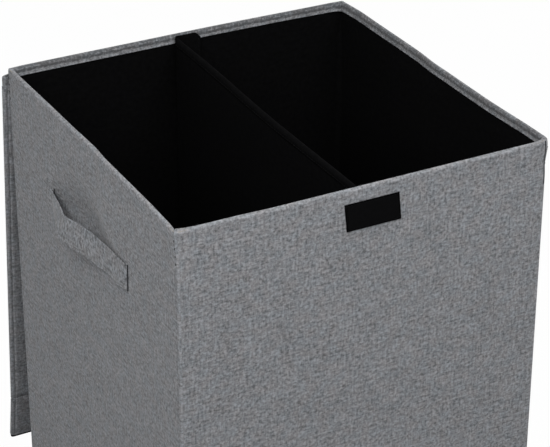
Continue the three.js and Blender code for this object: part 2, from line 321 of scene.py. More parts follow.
def makeTapeLook(name, kind):
    make = tapeLook[kind]
    look, tree, shader = startLook(name, tapeLook["roughness"], tapeLook["specular"])
    place = clothPlace(tree)
    if kind == "hook":
        rows = threadWaves(tree, place, 2 * make["size"])
        height = calc(tree, "ABSOLUTE", rows, 0.0)
    else:
        height = grain(tree, place, [make["size"]] * 2, 3.0, 0.75, layer=2)
    cloud = grain(tree, place, [make["size"] * tapeLook["cloudSize"]] * 2, layer=6)
    tone = weightedTone(tree, [(height, tapeLook["pile"]), (cloud, tapeLook["cloud"])])
    pile = addNode(tree, "ShaderNodeAttribute", attribute_name="toneMark").outputs["Fac"]
    color = mixColor(tree, calc(tree, "MULTIPLY", tone, pile), make["dark"], make["light"])
    tree.links.new(color, shader.inputs["Base Color"])
    addBump(tree, shader, height, make["bump"], tapeLook["bumpHeight"])
    return look


boardLook = {
    "roughness": 0.86, "specular": 0.2,
    "dark": (0.17, 0.15, 0.125),
    "light": (0.42, 0.38, 0.325),
    "mottle": 0.8, "mottleSize": 14.0, "fibre": 0.9, "fibreLength": 4.8, "fibreThick": 1.2,
    "bump": 0.4, "bumpHeight": 0.1,
}


def makeBoardLook(name):
    make = boardLook
    look, tree, shader = startLook(name, make["roughness"], make["specular"])
    place = objectPlace(tree)
    mottle = grain(tree, place, [make["mottleSize"]] * 3)
    fibre = grain(tree, place, (make["fibreLength"], make["fibreLength"], make["fibreThick"]), 4.0, 0.7)
    tone = weightedTone(tree, [(mottle, make["mottle"]), (fibre, make["fibre"])])
    tree.links.new(mixColor(tree, tone, make["dark"], make["light"]), shader.inputs["Base Color"])
    addBump(tree, shader, fibre, make["bump"], make["bumpHeight"])
    return look


threadLook = {
    "roughness": 0.7, "greySpecular": 0.25, "darkSpecular": 0.06,
    "strand": 1.4, "strandSize": 0.35,
    "bump": 0.5, "bumpHeight": 0.05,
}


def makeThreadLook(name, dark, light, specular):
    make = threadLook
    look, tree, shader = startLook(name, make["roughness"], specular)
    strands = grain(tree, objectPlace(tree), [make["strandSize"]] * 3)
    color = mixColor(tree, weightedTone(tree, [(strands, make["strand"])]), dark, light)
    tree.links.new(color, shader.inputs["Base Color"])
    addBump(tree, shader, strands, make["bump"], make["bumpHeight"])
    return look


greyCloth = makeGreyCloth("grey cloth")
# the strap's cloth is the grey cloth 5% lighter: painted light for the strap standing out into the light; its
# stronger grain is the cloth's own
strapPaintedLightCloth = makeGreyCloth("strap cloth", 1.05, 1.4)
blackCloth = makeBlackCloth("black lining cloth")
# the binding is the black cloth 10% lighter: painted light for the lit top of the divider
bindingPaintedLightCloth = makeBlackCloth("black binding cloth", 1.1)
loopTape = makeTapeLook("loop tape", "loop")
hookTape = makeTapeLook("hook tape", "hook")
pressedBoard = makeBoardLook("pressed board")
greyThread = makeThreadLook("grey thread", (0.11, 0.112, 0.116), (0.26, 0.262, 0.27),
                            threadLook["greySpecular"])
darkThread = makeThreadLook("dark grey thread", (0.012, 0.0125, 0.014), (0.05, 0.051, 0.055),
                            threadLook["darkSpecular"])
blackThread = makeThreadLook("black thread", (0.002, 0.002, 0.0022), (0.009, 0.009, 0.0098),
                             threadLook["darkSpecular"])
print("materials made")


# rows of stitches, by geometry nodes
def makeStitchTree():
    tree = bpy.data.node_groups.new("stitch row", "GeometryNodeTree")
    sockets = {}
    tree.interface.new_socket(name="Seam line", in_out="INPUT", socket_type="NodeSocketGeometry")
    for label, kind, value in (("Stitch pitch", "NodeSocketFloat", 0.0045),
                               ("Stitch length", "NodeSocketFloat", 0.0032),
                               ("Thread thickness", "NodeSocketFloat", 0.0006),
                               ("Unevenness", "NodeSocketFloat", 0.1),
                               ("Seed", "NodeSocketInt", 4),
                               ("Thread", "NodeSocketMaterial", None)):
        socket = tree.interface.new_socket(name=label, in_out="INPUT", socket_type=kind)
        if value is not None:
            socket.default_value = value
        sockets[label] = socket.identifier
    tree.interface.new_socket(name="Stitches", in_out="OUTPUT", socket_type="NodeSocketGeometry")
    given = tree.nodes.new("NodeGroupInput").outputs
    line = addNode(tree, "GeometryNodeMeshToCurve", {"Mesh": given["Seam line"]})
    points = addNode(tree, "GeometryNodeResampleCurve",
                     {"Curve": line.outputs["Curve"], "Length": given["Stitch pitch"]}, mode="LENGTH")
    bead = addNode(tree, "GeometryNodeMeshUVSphere", {"Segments": 6, "Rings": 5, "Radius": 0.5})
    size = addNode(tree, "ShaderNodeCombineXYZ",
                   {"X": given["Thread thickness"], "Y": given["Thread thickness"],
                    "Z": given["Stitch length"]})
    stitch = addNode(tree, "GeometryNodeTransform",
                     {"Geometry": bead.outputs["Mesh"], "Scale": size.outputs[0]})
    heading = addNode(tree, "FunctionNodeAlignRotationToVector",
                      {"Vector": addNode(tree, "GeometryNodeInputTangent").outputs[0]}, axis="Z")
    low = calc(tree, "SUBTRACT", 1.0, given["Unevenness"])
    high = calc(tree, "ADD", 1.0, given["Unevenness"])
    spread = addNode(tree, "FunctionNodeRandomValue", {2: low, 3: high, "Seed": given["Seed"]},
                     data_type="FLOAT")
    placed = addNode(tree, "GeometryNodeInstanceOnPoints",
                     {"Points": points.outputs["Curve"], "Instance": stitch.outputs["Geometry"],
                      "Rotation": heading.outputs[0], "Scale": spread.outputs[1]})
    real = addNode(tree, "GeometryNodeRealizeInstances", {"Geometry": placed.outputs["Instances"]})
    smooth = addNode(tree, "GeometryNodeSetShadeSmooth", {"Geometry": real.outputs["Geometry"]})
    finished = addNode(tree, "GeometryNodeSetMaterial",
                       {"Geometry": smooth.outputs["Geometry"], "Material": given["Thread"]})
    result = tree.nodes.new("NodeGroupOutput")
    tree.links.new(finished.outputs["Geometry"], result.inputs["Stitches"])
    return tree, sockets


stitchTree, stitchSockets = makeStitchTree()
stitchMake = {
    "Unevenness": 0.1,
    # pitch, stitch length and thread thickness of each kind of row
    "plain": (4.4, 3.3, 0.62),
    "corner seam": (6.2, 2.6, 0.9),
    "corner top": (6.2, 2.6, 1.8),
    "corner overcast": (1.6, 2.2, 1.2),
    "slit overcast": (1.3, 1.9, 2.2),
    "tape": (3.2, 2.3, 0.5),
    "lid border": (3.6, 2.9, 0.9),
}


def stitchRows(name, lines, thread, slotName, body, seed=4, kind="plain"):
    # each line is a list of points, and a closed one ends on its first point
    verts, edges = [], []
    for line in lines:
        start = len(verts)
        closed = math.dist(line[0], line[-1]) < 1e-6
        kept = line[:-1] if closed else line
        verts += [[value * mm for value in point] for point in kept]
        edges += [(start + i, start + i + 1) for i in range(len(kept) - 1)]
        if closed:
            edges.append((start + len(kept) - 1, start))
    mesh = bpy.data.meshes.new(name)
    mesh.from_pydata(verts, edges, [])
    piece = newObject(name, mesh)
    rows = piece.modifiers.new("stitches", "NODES")
    rows.node_group = stitchTree
    for label, value in zip(("Stitch pitch", "Stitch length", "Thread thickness"), stitchMake[kind]):
        rows[stitchSockets[label]] = value * mm
    rows[stitchSockets["Unevenness"]] = stitchMake["Unevenness"]
    rows[stitchSockets["Seed"]] = seed
    rows[stitchSockets["Thread"]] = thread
    makeSolid(piece)
    finishPiece(piece, thread, slotName, body)


# the body's plan and how its cloth has settled
halfWidth, bodyHeight = -boxOf("left_cover")[0][0], boxOf("left_cover")[1][2]
halfDepth = -boxOf("front_cover")[0][1]

bodySet = {
    "sideZone": (150, 192),  # the side walls settle from here on, by distance from the middle
    "endZone": (150, 203),  # and the back wall
    "bowFoot": 20,  # above the floor
    "leftBow": [(-202, 0), (-60, 0.7), (-38, 0.9), (-8, 2.3), (60, 1.2), (202, 0)],  # inwards at the rim
    "rightBow": [(-202, 0), (-34, 0.9), (3, 2.2), (36, 0.9), (202, 0)],
    # outwards at the rim, widest a little below the top
    "rightFlare": [(-202, 5.1), (-186, 3.5), (-90, 0.35), (-40, 0.2), (5, 1.3), (45, 1.6), (150, 0)],
    "flareFrom": (570, 592), "flareTop": (594, 600), "flareBack": 0.18,
    "rightRound": 2.9, "roundReach": 10.0, "roundFrom": (560, 598),  # the front right corner is rounder
    "backDroop": [(-190, 0.0), (-5, 0.3), (10, 0.4), (200, 2.2)],  # the back rim sinks to the right
    "droopFoot": 480,
    # inwards at the rim, by x
    "frontBow": [(-200, 1.8), (-188, 2.4), (-168, 1.8), (-145, 1.6), (-100, 0)],
    "frontBowFrom": (540, 598),
    # outwards at the rim round the front left corner
    "cornerSplay": 1.2, "splayMiddle": (-200, -202), "splayReach": 40, "splayFrom": (560, 600),
    "swell": 0.16, "swellSize": 75,  # unevenness of the cloth
    # behind each carrying strap: depth on the left and right wall, middle and reach as (y, z), reach below
    "hollow": {-1: 9.6, 1: 2.5}, "hollowMiddle": (24, 501), "hollowReach": (92, 60), "hollowBelow": 30,
    "hollowEase": (0.05, 1.0),  # in reaches
}


def flareShare(z):
    return ease(z, *bodySet["flareFrom"]) * (1 - bodySet["flareBack"] * ease(z, *bodySet["flareTop"]))


def settlePoint(x, y, z):
    make = bodySet
    near = make["sideZone"][0]
    lift = ease(z, make["bowFoot"], bodyHeight)
    share = ease(abs(x), *make["sideZone"])
    if share > 0 and lift > 0:
        bow = between(make["leftBow"] if x < 0 else make["rightBow"], y)
        x -= math.copysign(bow * lift * share, x)
    if x > 0 and share > 0:
        x += between(make["rightFlare"], y) * flareShare(z) * share
    if x > near and y < -near:
        reach, size = make["roundReach"], make["rightRound"] * ease(z, *make["roundFrom"])
        x, y = (x - size * min(max((-halfDepth + reach - y) / reach, 0), 1) ** 2,
                y + size * min(max((x - halfWidth + reach) / reach, 0), 1) ** 2)
    if x < 0 and y < -near:
        y += between(make["frontBow"], x) * ease(z, *make["frontBowFrom"])
        away = math.dist((x, y), make["splayMiddle"])
        x -= make["cornerSplay"] * ease(z, *make["splayFrom"]) * bell(away, 0, make["splayReach"])
    z -= between(make["backDroop"], x) * ease(y, *make["endZone"]) * ease(z, make["droopFoot"], bodyHeight)
    return x, y, z


def wallPoint(x, y, z):
    # settled, and hollow where a strap lies
    make = bodySet
    middleY, middleZ = make["hollowMiddle"]
    reachY, reachZ = make["hollowReach"]
    if z <= middleZ:
        reachZ = make["hollowBelow"]
    away = math.hypot((y - middleY) / reachY, (z - middleZ) / reachZ)
    side = -1 if x < 0 else 1
    hollow = make["hollow"][side] * (1 - ease(away, *make["hollowEase"])) * ease(abs(x), *make["sideZone"])
    return settlePoint(x - side * hollow, y, z)


bodyPlan = {
    "cornerRadius": 2.4, "innerRadius": 0.4,
    "arcSteps": 5, "step": 9.0,
    "creaseStops": (0, 2, 4, 7, 11, 16, 22, 28, 34, 40),  # to both sides of the crease
    # in from a corner's arc
    "cornerStops": (0.25, 0.6, 0.95, 1.6, 2.2, 2.65, 3.0, 3.35, 3.9, 4.6, 5.1, 5.4, 5.7, 6.2, 7.4, 9.5, 14),
    "slits": ((94.0, 96.0), (-88.4, -85.6)),  # rear and front one, from y to y
    "slitFoot": 478.2, "slitTop": 507.8,
    "slitStops": (0, 1, 3, 6),
    "wrinkle": (90, 128), "wrinkleStep": 4,  # a pulled crease behind the rear slit, from y to y
    "wrinkleRise": 6, "wrinkleFall": 24,  # whole between these
}

# each wall: outward direction, direction along it, its distance from the middle, half its length
walls = [
    ((0, -1), (1, 0), halfDepth, halfWidth),
    ((1, 0), (0, 1), halfWidth, halfDepth),
    ((0, 1), (-1, 0), halfDepth, halfWidth),
    ((-1, 0), (0, -1), halfWidth, halfDepth),
]


def planColumns():
    # places round the body, counterclockwise from above: (wall, place along it or turn of the corner)
    make = bodyPlan
    columns, measures = [], []
    total = 0
    radius = make["cornerRadius"]
    for index, wall in enumerate(walls):
        flat = wall[3] - radius
        way = wall[1][1]
        extra = []
        if index % 2:
            extra += [side * stop for side in (-1, 1) for stop in make["creaseStops"]]
            extra += [way * (slit[0] - stop) for slit in make["slits"] for stop in make["slitStops"]]
            extra += [way * (slit[1] + stop) for slit in make["slits"] for stop in make["slitStops"]]
            start, end = make["wrinkle"]
            extra += [way * place for place in range(start + make["wrinkleRise"], end, make["wrinkleStep"])]
        for place in stopsBetween(-flat, flat, make["step"], extra, make["cornerStops"]):
            columns.append((index, "flat", place))
            measures.append(total + place + flat)
        total += 2 * flat
        for k in range(1, make["arcSteps"]):
            turn = math.pi / 2 * k / make["arcSteps"]
            columns.append((index, "arc", turn))
            measures.append(total + radius * turn)
        total += radius * math.pi / 2
    return columns, measures + [total]


columns, roundMeasure = planColumns()


def planPoint(column, depth, innerRadius=bodyPlan["innerRadius"]):
    # a place round the body at a depth from its outer face, and the outward direction there
    index, kind, value = column
    out, along, distance, half = walls[index]
    radius = max(bodyPlan["cornerRadius"] - depth, innerRadius)
    reach = half - depth - radius
    if kind == "flat":
        place = value * reach / (half - bodyPlan["cornerRadius"])
        spot = [out[i] * (distance - depth) + along[i] * place for i in (0, 1)]
        return spot, out
    centre = [out[i] * (distance - depth - radius) + along[i] * reach for i in (0, 1)]
    turned = [out[i] * math.cos(value) + along[i] * math.sin(value) for i in (0, 1)]
    return [centre[i] + radius * turned[i] for i in (0, 1)], turned


def cornerDistance(x, y):
    return math.hypot(halfWidth - abs(x), halfDepth - abs(y))


# outer cloth of the four walls, turned over the rim
outerCloth = {
    "thick": 0.6, "calmReach": 30,  # no unevenness near a corner
    "rowStep": 12.0, "wallTop": 586, "wallStops": (0.6, 2, 5, 575, 582),
    "slitRows": (-4, 0, 5), "slitTopRows": (-5, -2.6, -1.3, 0, 1.3, 2.6, 5),
    "footIn": 0.25,
    "rimWidth": 4.2, "rimRise": 3.4,
    # the roll over the rim, of the back and right walls and of the front and left ones: depth from the
    # outer face, and height below the top
    "farRoll": [(-0.1, 3.4), (-0.25, 2.4), (-0.33, 1.5), (-0.22, 0.75), (0.1, 0.22), (0.65, 0.03), (1.5, 0.0),
                (2.3, 0.08), (3.0, 0.36), (3.6, 0.95), (4.0, 1.9), (4.2, 3.2)],
    "nearRoll": [(-0.02, 3.4), (0.03, 2.7), (0.15, 2.05), (0.42, 1.4), (0.85, 0.9), (1.4, 0.5), (2.0, 0.22),
                 (2.65, 0.05), (3.3, 0.0), (3.85, 0.3), (4.15, 1.2), (4.2, 3.2)],
    # the hem inside, from its top to its foot: depth past the rim's width, height above the foot
    "hem": [(-0.2, 5.6), (-0.42, 4.2), (-0.55, 3.2), (-0.5, 2.6), (-0.2, 1.9), (0.25, 1.1), (0.5, 0.5),
            (0.3, 0.1), (-0.3, 0)],
    "hemFoot": 590.0, "hemTop": 597, "hemStitchDepth": 3.7, "hemStitchHeight": 2.9,
    # the back hem's foot is higher, by x; it is the cloth beyond this y and depth
    "backHemShort": [(-200, 0.1), (0, 0.2), (30, 0.9), (120, 1.1), (196, 0.2)], "backHem": (190, 3),
    "wrinkleRidge": 1.3, "wrinkleHeight": 510.4, "wrinkleWide": 1.7,
    "cornerDrop": 0.4, "dropMiddle": 5, "dropReach": 7,  # the rim's corners lie a little lower
    # painted shade, darker in colour: inside the hem and on its foot, on the far rolls and on their inner
    # half
    "insidePaintedShade": 4.2, "footPaintedShade": 1.2, "footTop": (592, 594.5), "insideDepth": (3.5, 4.0),
    "insideTop": (596, 599), "farRollPaintedShade": 1.2, "rollInsidePaintedShade": 2.6, "rollInside": (1.2, 2.8),
    "rollFrom": (597.3, 599.3),
    # lighter in colour over the rim roll and along the corners
    "overDepth": 2.3, "rollLift": 0.5, "cornerLift": 1.3, "cornerLiftReach": 2.5,
    # stitched line below the rim: rows as depth and height from its middle
    "seamHeight": 592.6,
    "seamRows": [(-0.04, -4.2), (-0.08, -2.6), (0.02, -1.1), (0.09, -0.5), (0.12, 0), (0.072, 0.6),
                 (0.05, 1.3), (-0.06, 2.4)],
    "sideSeam": 5.4, "sideSeamTop": 2.6, "sideSeamFrom": (440, 590),  # stitched line on the side walls,
    "sideSeamDent": 0.45, "sideSeamWide": 0.9,  # in from the corners
    "endSeam": 3.0, "endSeamDent": 0.3, "endSeamWide": 0.6,  # fold line beside the corners, on the end walls,
    "endSeamFade": 0.6, "seamDepth": 2,  # fainter over the rim; neither line reaches this depth
    # folded seams thicken the rim at the corners: inwards on the end and side walls, and how far along
    "endBulk": 3.2, "sideBulk": 1.6, "nearLeftEndBulk": 5.4, "nearLeftSideBulk": -1.2, "cornerReach": 10.0,
    "bulkDepth": (1.2, 4),
}


def sideSeamAt(height):
    # how far in from the corner the side walls' stitched line runs
    low, top = outerCloth["sideSeam"], outerCloth["sideSeamTop"]
    return low + (top - low) * ease(height, *outerCloth["sideSeamFrom"])


def outerProfile(make, roll):
    # depth from the outer face and height, from the floor up, over the rim and down inside
    extra = list(make["wallStops"])
    extra += [bodyPlan["slitFoot"] + stop for stop in make["slitRows"]]
    extra += [bodyPlan["slitTop"] + stop for stop in make["slitTopRows"]]
    rows = [(0.0, height) for height in stopsBetween(0, make["wallTop"], make["rowStep"], extra)]
    rows[0] = (make["footIn"], 0.0)
    rows += [(depth, make["seamHeight"] + height) for depth, height in make["seamRows"]]
    rows += [(depth, bodyHeight - drop) for depth, drop in roll]
    return rows + [(make["rimWidth"] + depth, make["hemFoot"] + height) for depth, height in make["hem"]]


def cornerPush(column, spot, depth):
    # how far a corner's folded seam moves the hem inwards
    make = outerCloth
    nearLeft = spot[0] < 0 and spot[1] < 0
    share = 1 - column[2] / (math.pi / 2) if column[1] == "arc" else 1
    kinds = [make["nearLeftEndBulk" if nearLeft else "endBulk"],
             make["nearLeftSideBulk" if nearLeft else "sideBulk"]]
    own, other = kinds[column[0] % 2], kinds[1 - column[0] % 2]
    bulk = own * share + other * (1 - share)
    return bulk * bell(cornerDistance(*spot), 0, make["cornerReach"]) * ease(depth, *make["bulkDepth"])


def nearWallShare(column):
    # 1 on the front and left walls, 0 on the others, turning at the corners between
    index, kind, value = column
    share, following = float(index in (0, 3)), float(index in (2, 3))
    return share if kind == "flat" else share + (following - share) * value / (math.pi / 2)


def seamPush(column, depth, height, over):
    # the dents of the stitched and folded lines beside the corners
    make = outerCloth
    if column[1] != "flat" or depth >= make["seamDepth"]:
        return 0
    gap = walls[column[0]][3] - abs(column[2])
    if column[0] % 2:
        return -make["sideSeamDent"] * bell(gap, sideSeamAt(height), make["sideSeamWide"]) * (1 - over)
    dent = make["endSeamDent"] * bell(gap, make["endSeam"], make["endSeamWide"])
    return -dent * (1 - over * make["endSeamFade"])


def wrinklePush(column, y, height):
    if column[1] != "flat" or not column[0] % 2:
        return 0
    start, end = bodyPlan["wrinkle"]
    rise = ease(y, start, start + bodyPlan["wrinkleRise"])
    share = rise * (1 - ease(y, start + bodyPlan["wrinkleFall"], end))
    make = outerCloth
    return make["wrinkleRidge"] * share * bell(height, make["wrinkleHeight"], make["wrinkleWide"])


def rimPaintedShade(depth, height, farShare):
    # how much painted shade darkens the cloth inside the hem and on the far rolls
    make = outerCloth
    hem = make["footPaintedShade"] + (make["insidePaintedShade"] - make["footPaintedShade"]) * ease(height, *make["footTop"])
    inside = ease(depth, *make["insideDepth"]) * (1 - ease(height, *make["insideTop"]))
    roll = make["farRollPaintedShade"] + make["rollInsidePaintedShade"] * ease(depth, *make["rollInside"])
    return hem * inside + roll * farShare * ease(height, *make["rollFrom"])


def makeOuterCloth():
    make = outerCloth
    profile, nearProfile = outerProfile(make, make["farRoll"]), outerProfile(make, make["nearRoll"])
    rows, toneLayer = [], []
    for far, nearer in zip(profile, nearProfile):
        row, toneLayerRow = [], []
        over = ease(far[1], bodyHeight - make["rimRise"] - 1, bodyHeight)
        if far[0] >= make["overDepth"]:
            over = 1.0
        for column, measure in zip(columns, roundMeasure):
            share = nearWallShare(column)
            depth, height = (far[k] + (nearer[k] - far[k]) * share for k in (0, 1))
            spot, out = planPoint(column, depth)
            if spot[1] > make["backHem"][0] and depth > make["backHem"][1] and height < make["hemTop"]:
                short = between(make["backHemShort"], spot[0])
                height += short * (1 - ease(height, make["hemFoot"], make["hemTop"]))
            near = cornerDistance(*spot)
            height -= make["cornerDrop"] * bell(near, make["dropMiddle"], make["dropReach"]) * over
            free = ease(near, 0, make["calmReach"]) * (1 - over)
            push = bodySet["swell"] * ripple(measure, height, bodySet["swellSize"], 2.0) * free
            push += seamPush(column, depth, height, over)
            push += wrinklePush(column, spot[1], height) - cornerPush(column, spot, depth)
            x, y = (spot[i] + out[i] * push for i in (0, 1))
            row.append(wallPoint(x, y, height))
            toneMark = max(over * make["rollLift"], make["cornerLift"] * bell(near, 0, make["cornerLiftReach"]))
            # painted shade: darker inside the hem and on the far rolls, taken from the rim's and corners'
            # lift
            toneLayerRow.append(toneMark - rimPaintedShade(depth, height, 1 - share))
        rows.append(row)
        toneLayer.append(toneLayerRow)

    def hole(i, j):
        index, kind, place = columns[j]
        if kind != "flat" or not index % 2 or profile[i][0] > 0.1:
            return False
        middle = (place + columns[(j + 1) % len(columns)][2]) / 2 * walls[index][1][1]
        inSlit = any(low < middle < high for low, high in bodyPlan["slits"])
        return inSlit and bodyPlan["slitFoot"] - 0.1 <= profile[i][1] < bodyPlan["slitTop"] - 0.1

    piece = sheetPiece("outer_cloth", rows, roundMeasure, lengthsAlong(profile), make["thick"], closed=True,
                       hole=hole, toneMark=lambda i, j: toneLayer[i][j])
    finishPiece(piece, greyCloth, "grey_cloth", "hamper_body",
                ("front_cover", "back_cover", "left_cover", "right_cover"))


makeOuterCloth()
print("outer cloth made")


def ringLine(depth, height, push=0.0):
    # a closed line round the body at a depth and height, moved outwards by push
    line = []
    for column in columns:
        spot, out = planPoint(column, depth)
        move = push - cornerPush(column, spot, depth)
        line.append(settlePoint(spot[0] + out[0] * move, spot[1] + out[1] * move, height))
    return line + [line[0]]


bodyStitches = {
    "proud": 0.05, "rimLine": (0.24, 0.1),  # depth, and moved outwards
    "cornerSeam": (6, 562), "cornerTop": (566, 590),  # heights, with heavier thread near the rim
    "overcast": (554, 598), "overcastIn": 2.0, "overcastFlare": 0.6,
    "step": 12, "overcastStep": 6, "slitStep": 3,
    "slitLow": 4, "slitHigh": 2.5, "slitMiddle": 494, "slitIn": 0.3, "slitLean": 0.05,
}


def makeBodyStitches():
    make, proud = bodyStitches, bodyStitches["proud"]
    depth, push = make["rimLine"]
    lines = [ringLine(outerCloth["hemStitchDepth"], outerCloth["hemFoot"] + outerCloth["hemStitchHeight"]),
             ringLine(depth, outerCloth["seamHeight"], push)]
    stitchRows("rim_hem_stitches", lines, greyThread, "grey_cloth", "hamper_body", 7)
    # near the rim the corner seams' thread is dark grey and heavier, dark also to stand in for the shaded
    # dimples the stitches pull in (painted shade)
    for name, thread, heights, kind in (("corner_seam_stitches", greyThread, "cornerSeam", "corner seam"),
                                        ("corner_top_shade_stitches", darkThread, "cornerTop", "corner top")):
        lines = []
        for side in (-1, 1):
            x = side * (halfWidth - outerCloth["sideSeamDent"] + proud)
            for end in (-1, 1):
                lines.append([settlePoint(x, end * (halfDepth - sideSeamAt(height)), height)
                              for height in stopsBetween(*make[heights], make["step"])])
        stitchRows(name, lines, thread, "grey_cloth", "hamper_body", 9, kind)
    # overcast end of the front right corner's seam, in dark thread that stands in for the shaded line along
    # that corner (painted shade)
    line = []
    for height in stopsBetween(*make["overcast"], make["overcastStep"]):
        x = halfWidth - make["overcastIn"] - make["overcastFlare"] * flareShare(height)
        line.append(settlePoint(x, -halfDepth + proud, height))
    stitchRows("corner_overcast_shadow_stitches", [line], darkThread, "grey_cloth", "hamper_body", 17,
               "corner overcast")
    # overcast front edge of each front slit, in dark thread that also stands in for the shadow in the slit
    # (painted shade)
    front, lines = bodyPlan["slits"][1][0] - make["slitIn"], []
    low, high = bodyPlan["slitFoot"] + make["slitLow"], bodyPlan["slitTop"] + make["slitHigh"]
    for side in (-1, 1):
        x = side * (halfWidth + proud)
        lines.append([wallPoint(x, front - (height - make["slitMiddle"]) * make["slitLean"], height)
                      for height in stopsBetween(low, high, make["slitStep"])])
    stitchRows("slit_edge_shadow_stitches", lines, darkThread, "grey_cloth", "hamper_body", 15, "slit overcast")


makeBodyStitches()

# black lining of the four walls
liningMake = {
    "thick": 0.4, "face": 3.6, "foot": 1.0, "top": 592.2,
    "rowStep": 20.0, "rowStops": (3, 8, 560, 568, 573, 576.5, 580, 583, 586, 589),
    "tightCorner": 0.5, "softCorner": 5.0, "softTo": (545, 584), "softFoot": 30,
    "wrinkle": 0.35, "wrinkleSize": 45, "freeFrom": (5, 40), "freeTo": (560, 586),
    "creaseRidge": 0.9, "creaseWide": 2.2, "rightCrease": 8.0, "leftCrease": -12.0,
}


def makeLining():
    make = liningMake
    heights = stopsBetween(make["foot"], make["top"], make["rowStep"], make["rowStops"])
    rows = []
    for height in heights:
        row = []
        soft = (1 - ease(height, *make["softTo"])) * ease(height, 0, make["softFoot"])
        radius = make["tightCorner"] + (make["softCorner"] - make["tightCorner"]) * soft
        free = (1 - ease(height, *make["freeTo"])) * ease(height, *make["freeFrom"])
        for column, measure in zip(columns, roundMeasure):
            spot, out = planPoint(column, make["face"], radius)
            push = 0
            if column[0] % 2:
                wrinkle = 0.5 + ripple(measure, height * 0.5, make["wrinkleSize"], 6.0)
                push = make["wrinkle"] * wrinkle * free
                crease = make["rightCrease"] if spot[0] > 0 else make["leftCrease"]
                push += make["creaseRidge"] * bell(spot[1], crease, make["creaseWide"]) * free
            x, y = (spot[i] - out[i] * max(push, 0) for i in (0, 1))
            row.append(wallPoint(x, y, height))
        rows.append(row)
    piece = sheetPiece("inner_lining", rows, roundMeasure, heights, make["thick"], closed=True, flip=True)
    finishPiece(piece, blackCloth, "black_lining", "hamper_body",
                ("front_lining", "back_lining", "left_lining", "right_lining"))


makeLining()

# the base's, lid's and flap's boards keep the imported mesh; the walls' and the divider's follow the cloth
boardMake = {
    "weld": 0.01, "flatTurn": math.radians(1),
    # the step of the cuts across each axis, and finer ones near the rim
    "sideCuts": ((1, 8), (2, 10)), "endCuts": ((0, 4), (2, 20)), "dividerCuts": ((0, 40), (1, 7), (2, 20)),
    "rimCuts": (574, 577.5, 580, 582.5, 585, 587.5, 590, 592.5, 594.5, 597),
}


def bentBoard(name, node, body, bend, cuts):
    shape = bmesh.new()
    shape.from_mesh(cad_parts[node].data)
    bmesh.ops.remove_doubles(shape, verts=shape.verts, dist=boardMake["weld"] * mm)
    bmesh.ops.dissolve_limit(shape, angle_limit=boardMake["flatTurn"], verts=shape.verts, edges=shape.edges)
    bmesh.ops.triangulate(shape, faces=shape.faces)
    for axis, step in boardMake[cuts]:
        low = min(vert.co[axis] for vert in shape.verts)
        high = max(vert.co[axis] for vert in shape.verts)
        places = [low + i * step * mm for i in range(1, math.ceil((high - low) / (step * mm)))]
        if axis == 2:
            places += [height * mm for height in boardMake["rimCuts"] if low < height * mm < high]
        for cut in places:
            spot, way = [0, 0, 0], [0, 0, 0]
            spot[axis], way[axis] = cut, 1
            bmesh.ops.bisect_plane(shape, geom=shape.verts[:] + shape.edges[:] + shape.faces[:],
                                   plane_co=spot, plane_no=way)
    for vert in shape.verts:
        moved = bend(*(value / mm for value in vert.co))
        vert.co = [value * mm for value in moved]
    bmesh.ops.recalc_face_normals(shape, faces=shape.faces)
    mesh = bpy.data.meshes.new(name)
    shape.to_mesh(mesh)
    shape.free()
    finishPiece(newObject(name, mesh), pressedBoard, "board", body, (node,))


for side in ("left", "right"):
    for end in ("rear", "front"):
        bentBoard(f"{side}_{end}_half_board", f"{side}_{end}_board", "hamper_body", wallPoint, "sideCuts")
for end in ("front", "back"):
    bentBoard(f"{end}_wall_board", f"{end}_board", "hamper_body", wallPoint, "endCuts")
for node in ("base_board", "lid_board", "flap_board"):
    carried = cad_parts[node]
    carried.data.materials.clear()
    carried.data.materials.append(pressedBoard)
print("lining and boards made")

# base: cloth sewn to the walls, and the loose board in its wrap
baseMake = {
    "step": 18.0,
    "clothThick": 0.58, "clothStop": 3,
    "wrapThick": 0.4, "wrapIn": 0.2, "turnSteps": 6,  # its open edge is a little in, the other one is round
    "endStops": (0.25, 0.7), "endRound": 0.7, "endFill": 0.25,  # thinner at its ends
    "unevenness": 0.12, "unevenSize": 50, "unevenIn": 20,
    "stitchIn": 5, "openStitchIn": 8, "proud": 0.02,
}


def makeBase():
    make = baseMake
    low, high = boxOf("base_cloth")
    xs, ys = (stopsBetween(low[i], high[i], make["step"], insets=(make["clothStop"],)) for i in (0, 1))
    rows = [[(x, y, high[2]) for x in xs] for y in ys]
    piece = sheetPiece("base_cloth_sheet", rows, xs, ys, make["clothThick"])
    finishPiece(piece, blackCloth, "black_lining", "hamper_body", ("base_cloth",))
    low, high = boxOf("base_board_wrap")
    middle, half = (low[2] + high[2]) / 2, (high[2] - low[2]) / 2
    xs = stopsBetween(low[0] + make["wrapIn"], high[0] - half, make["step"])
    outline = [(x, -half) for x in xs]
    for k in range(1, make["turnSteps"]):
        turn = math.pi * k / make["turnSteps"]
        outline.append((high[0] - half + half * math.sin(turn), -half * math.cos(turn)))
    outline += [(x, half) for x in reversed(xs)]
    ys = stopsBetween(low[1], high[1], make["step"], insets=make["endStops"])
    rows = []
    for y in ys:
        edge = min(y - low[1], high[1] - y)
        fill = make["endFill"] + (1 - make["endFill"]) * math.sqrt(min(edge / make["endRound"], 1))
        row = []
        for x, z in outline:
            uneven = max(ripple(x, y, make["unevenSize"], 3.0), -0.5) * ease(edge, 0, make["unevenIn"])
            row.append((x, y, middle + z * fill + min(make["unevenness"] * uneven * (z > 0), 0.0)))
        rows.append(row)
    piece = sheetPiece("base_board_cover", rows, lengthsAlong(outline), ys, make["wrapThick"])
    finishPiece(piece, blackCloth, "black_lining", "base_board", ("base_board_wrap",))
    inset = make["stitchIn"]
    left, right, near, far = low[0] + make["openStitchIn"], high[0] - inset, low[1] + inset, high[1] - inset
    corners = ((left, near), (right, near), (right, far), (left, far))
    line = [(x, y, high[2] + make["proud"]) for x, y in corners]
    stitchRows("base_cover_stitches", [line], blackThread, "black_lining", "base_board")


makeBase()

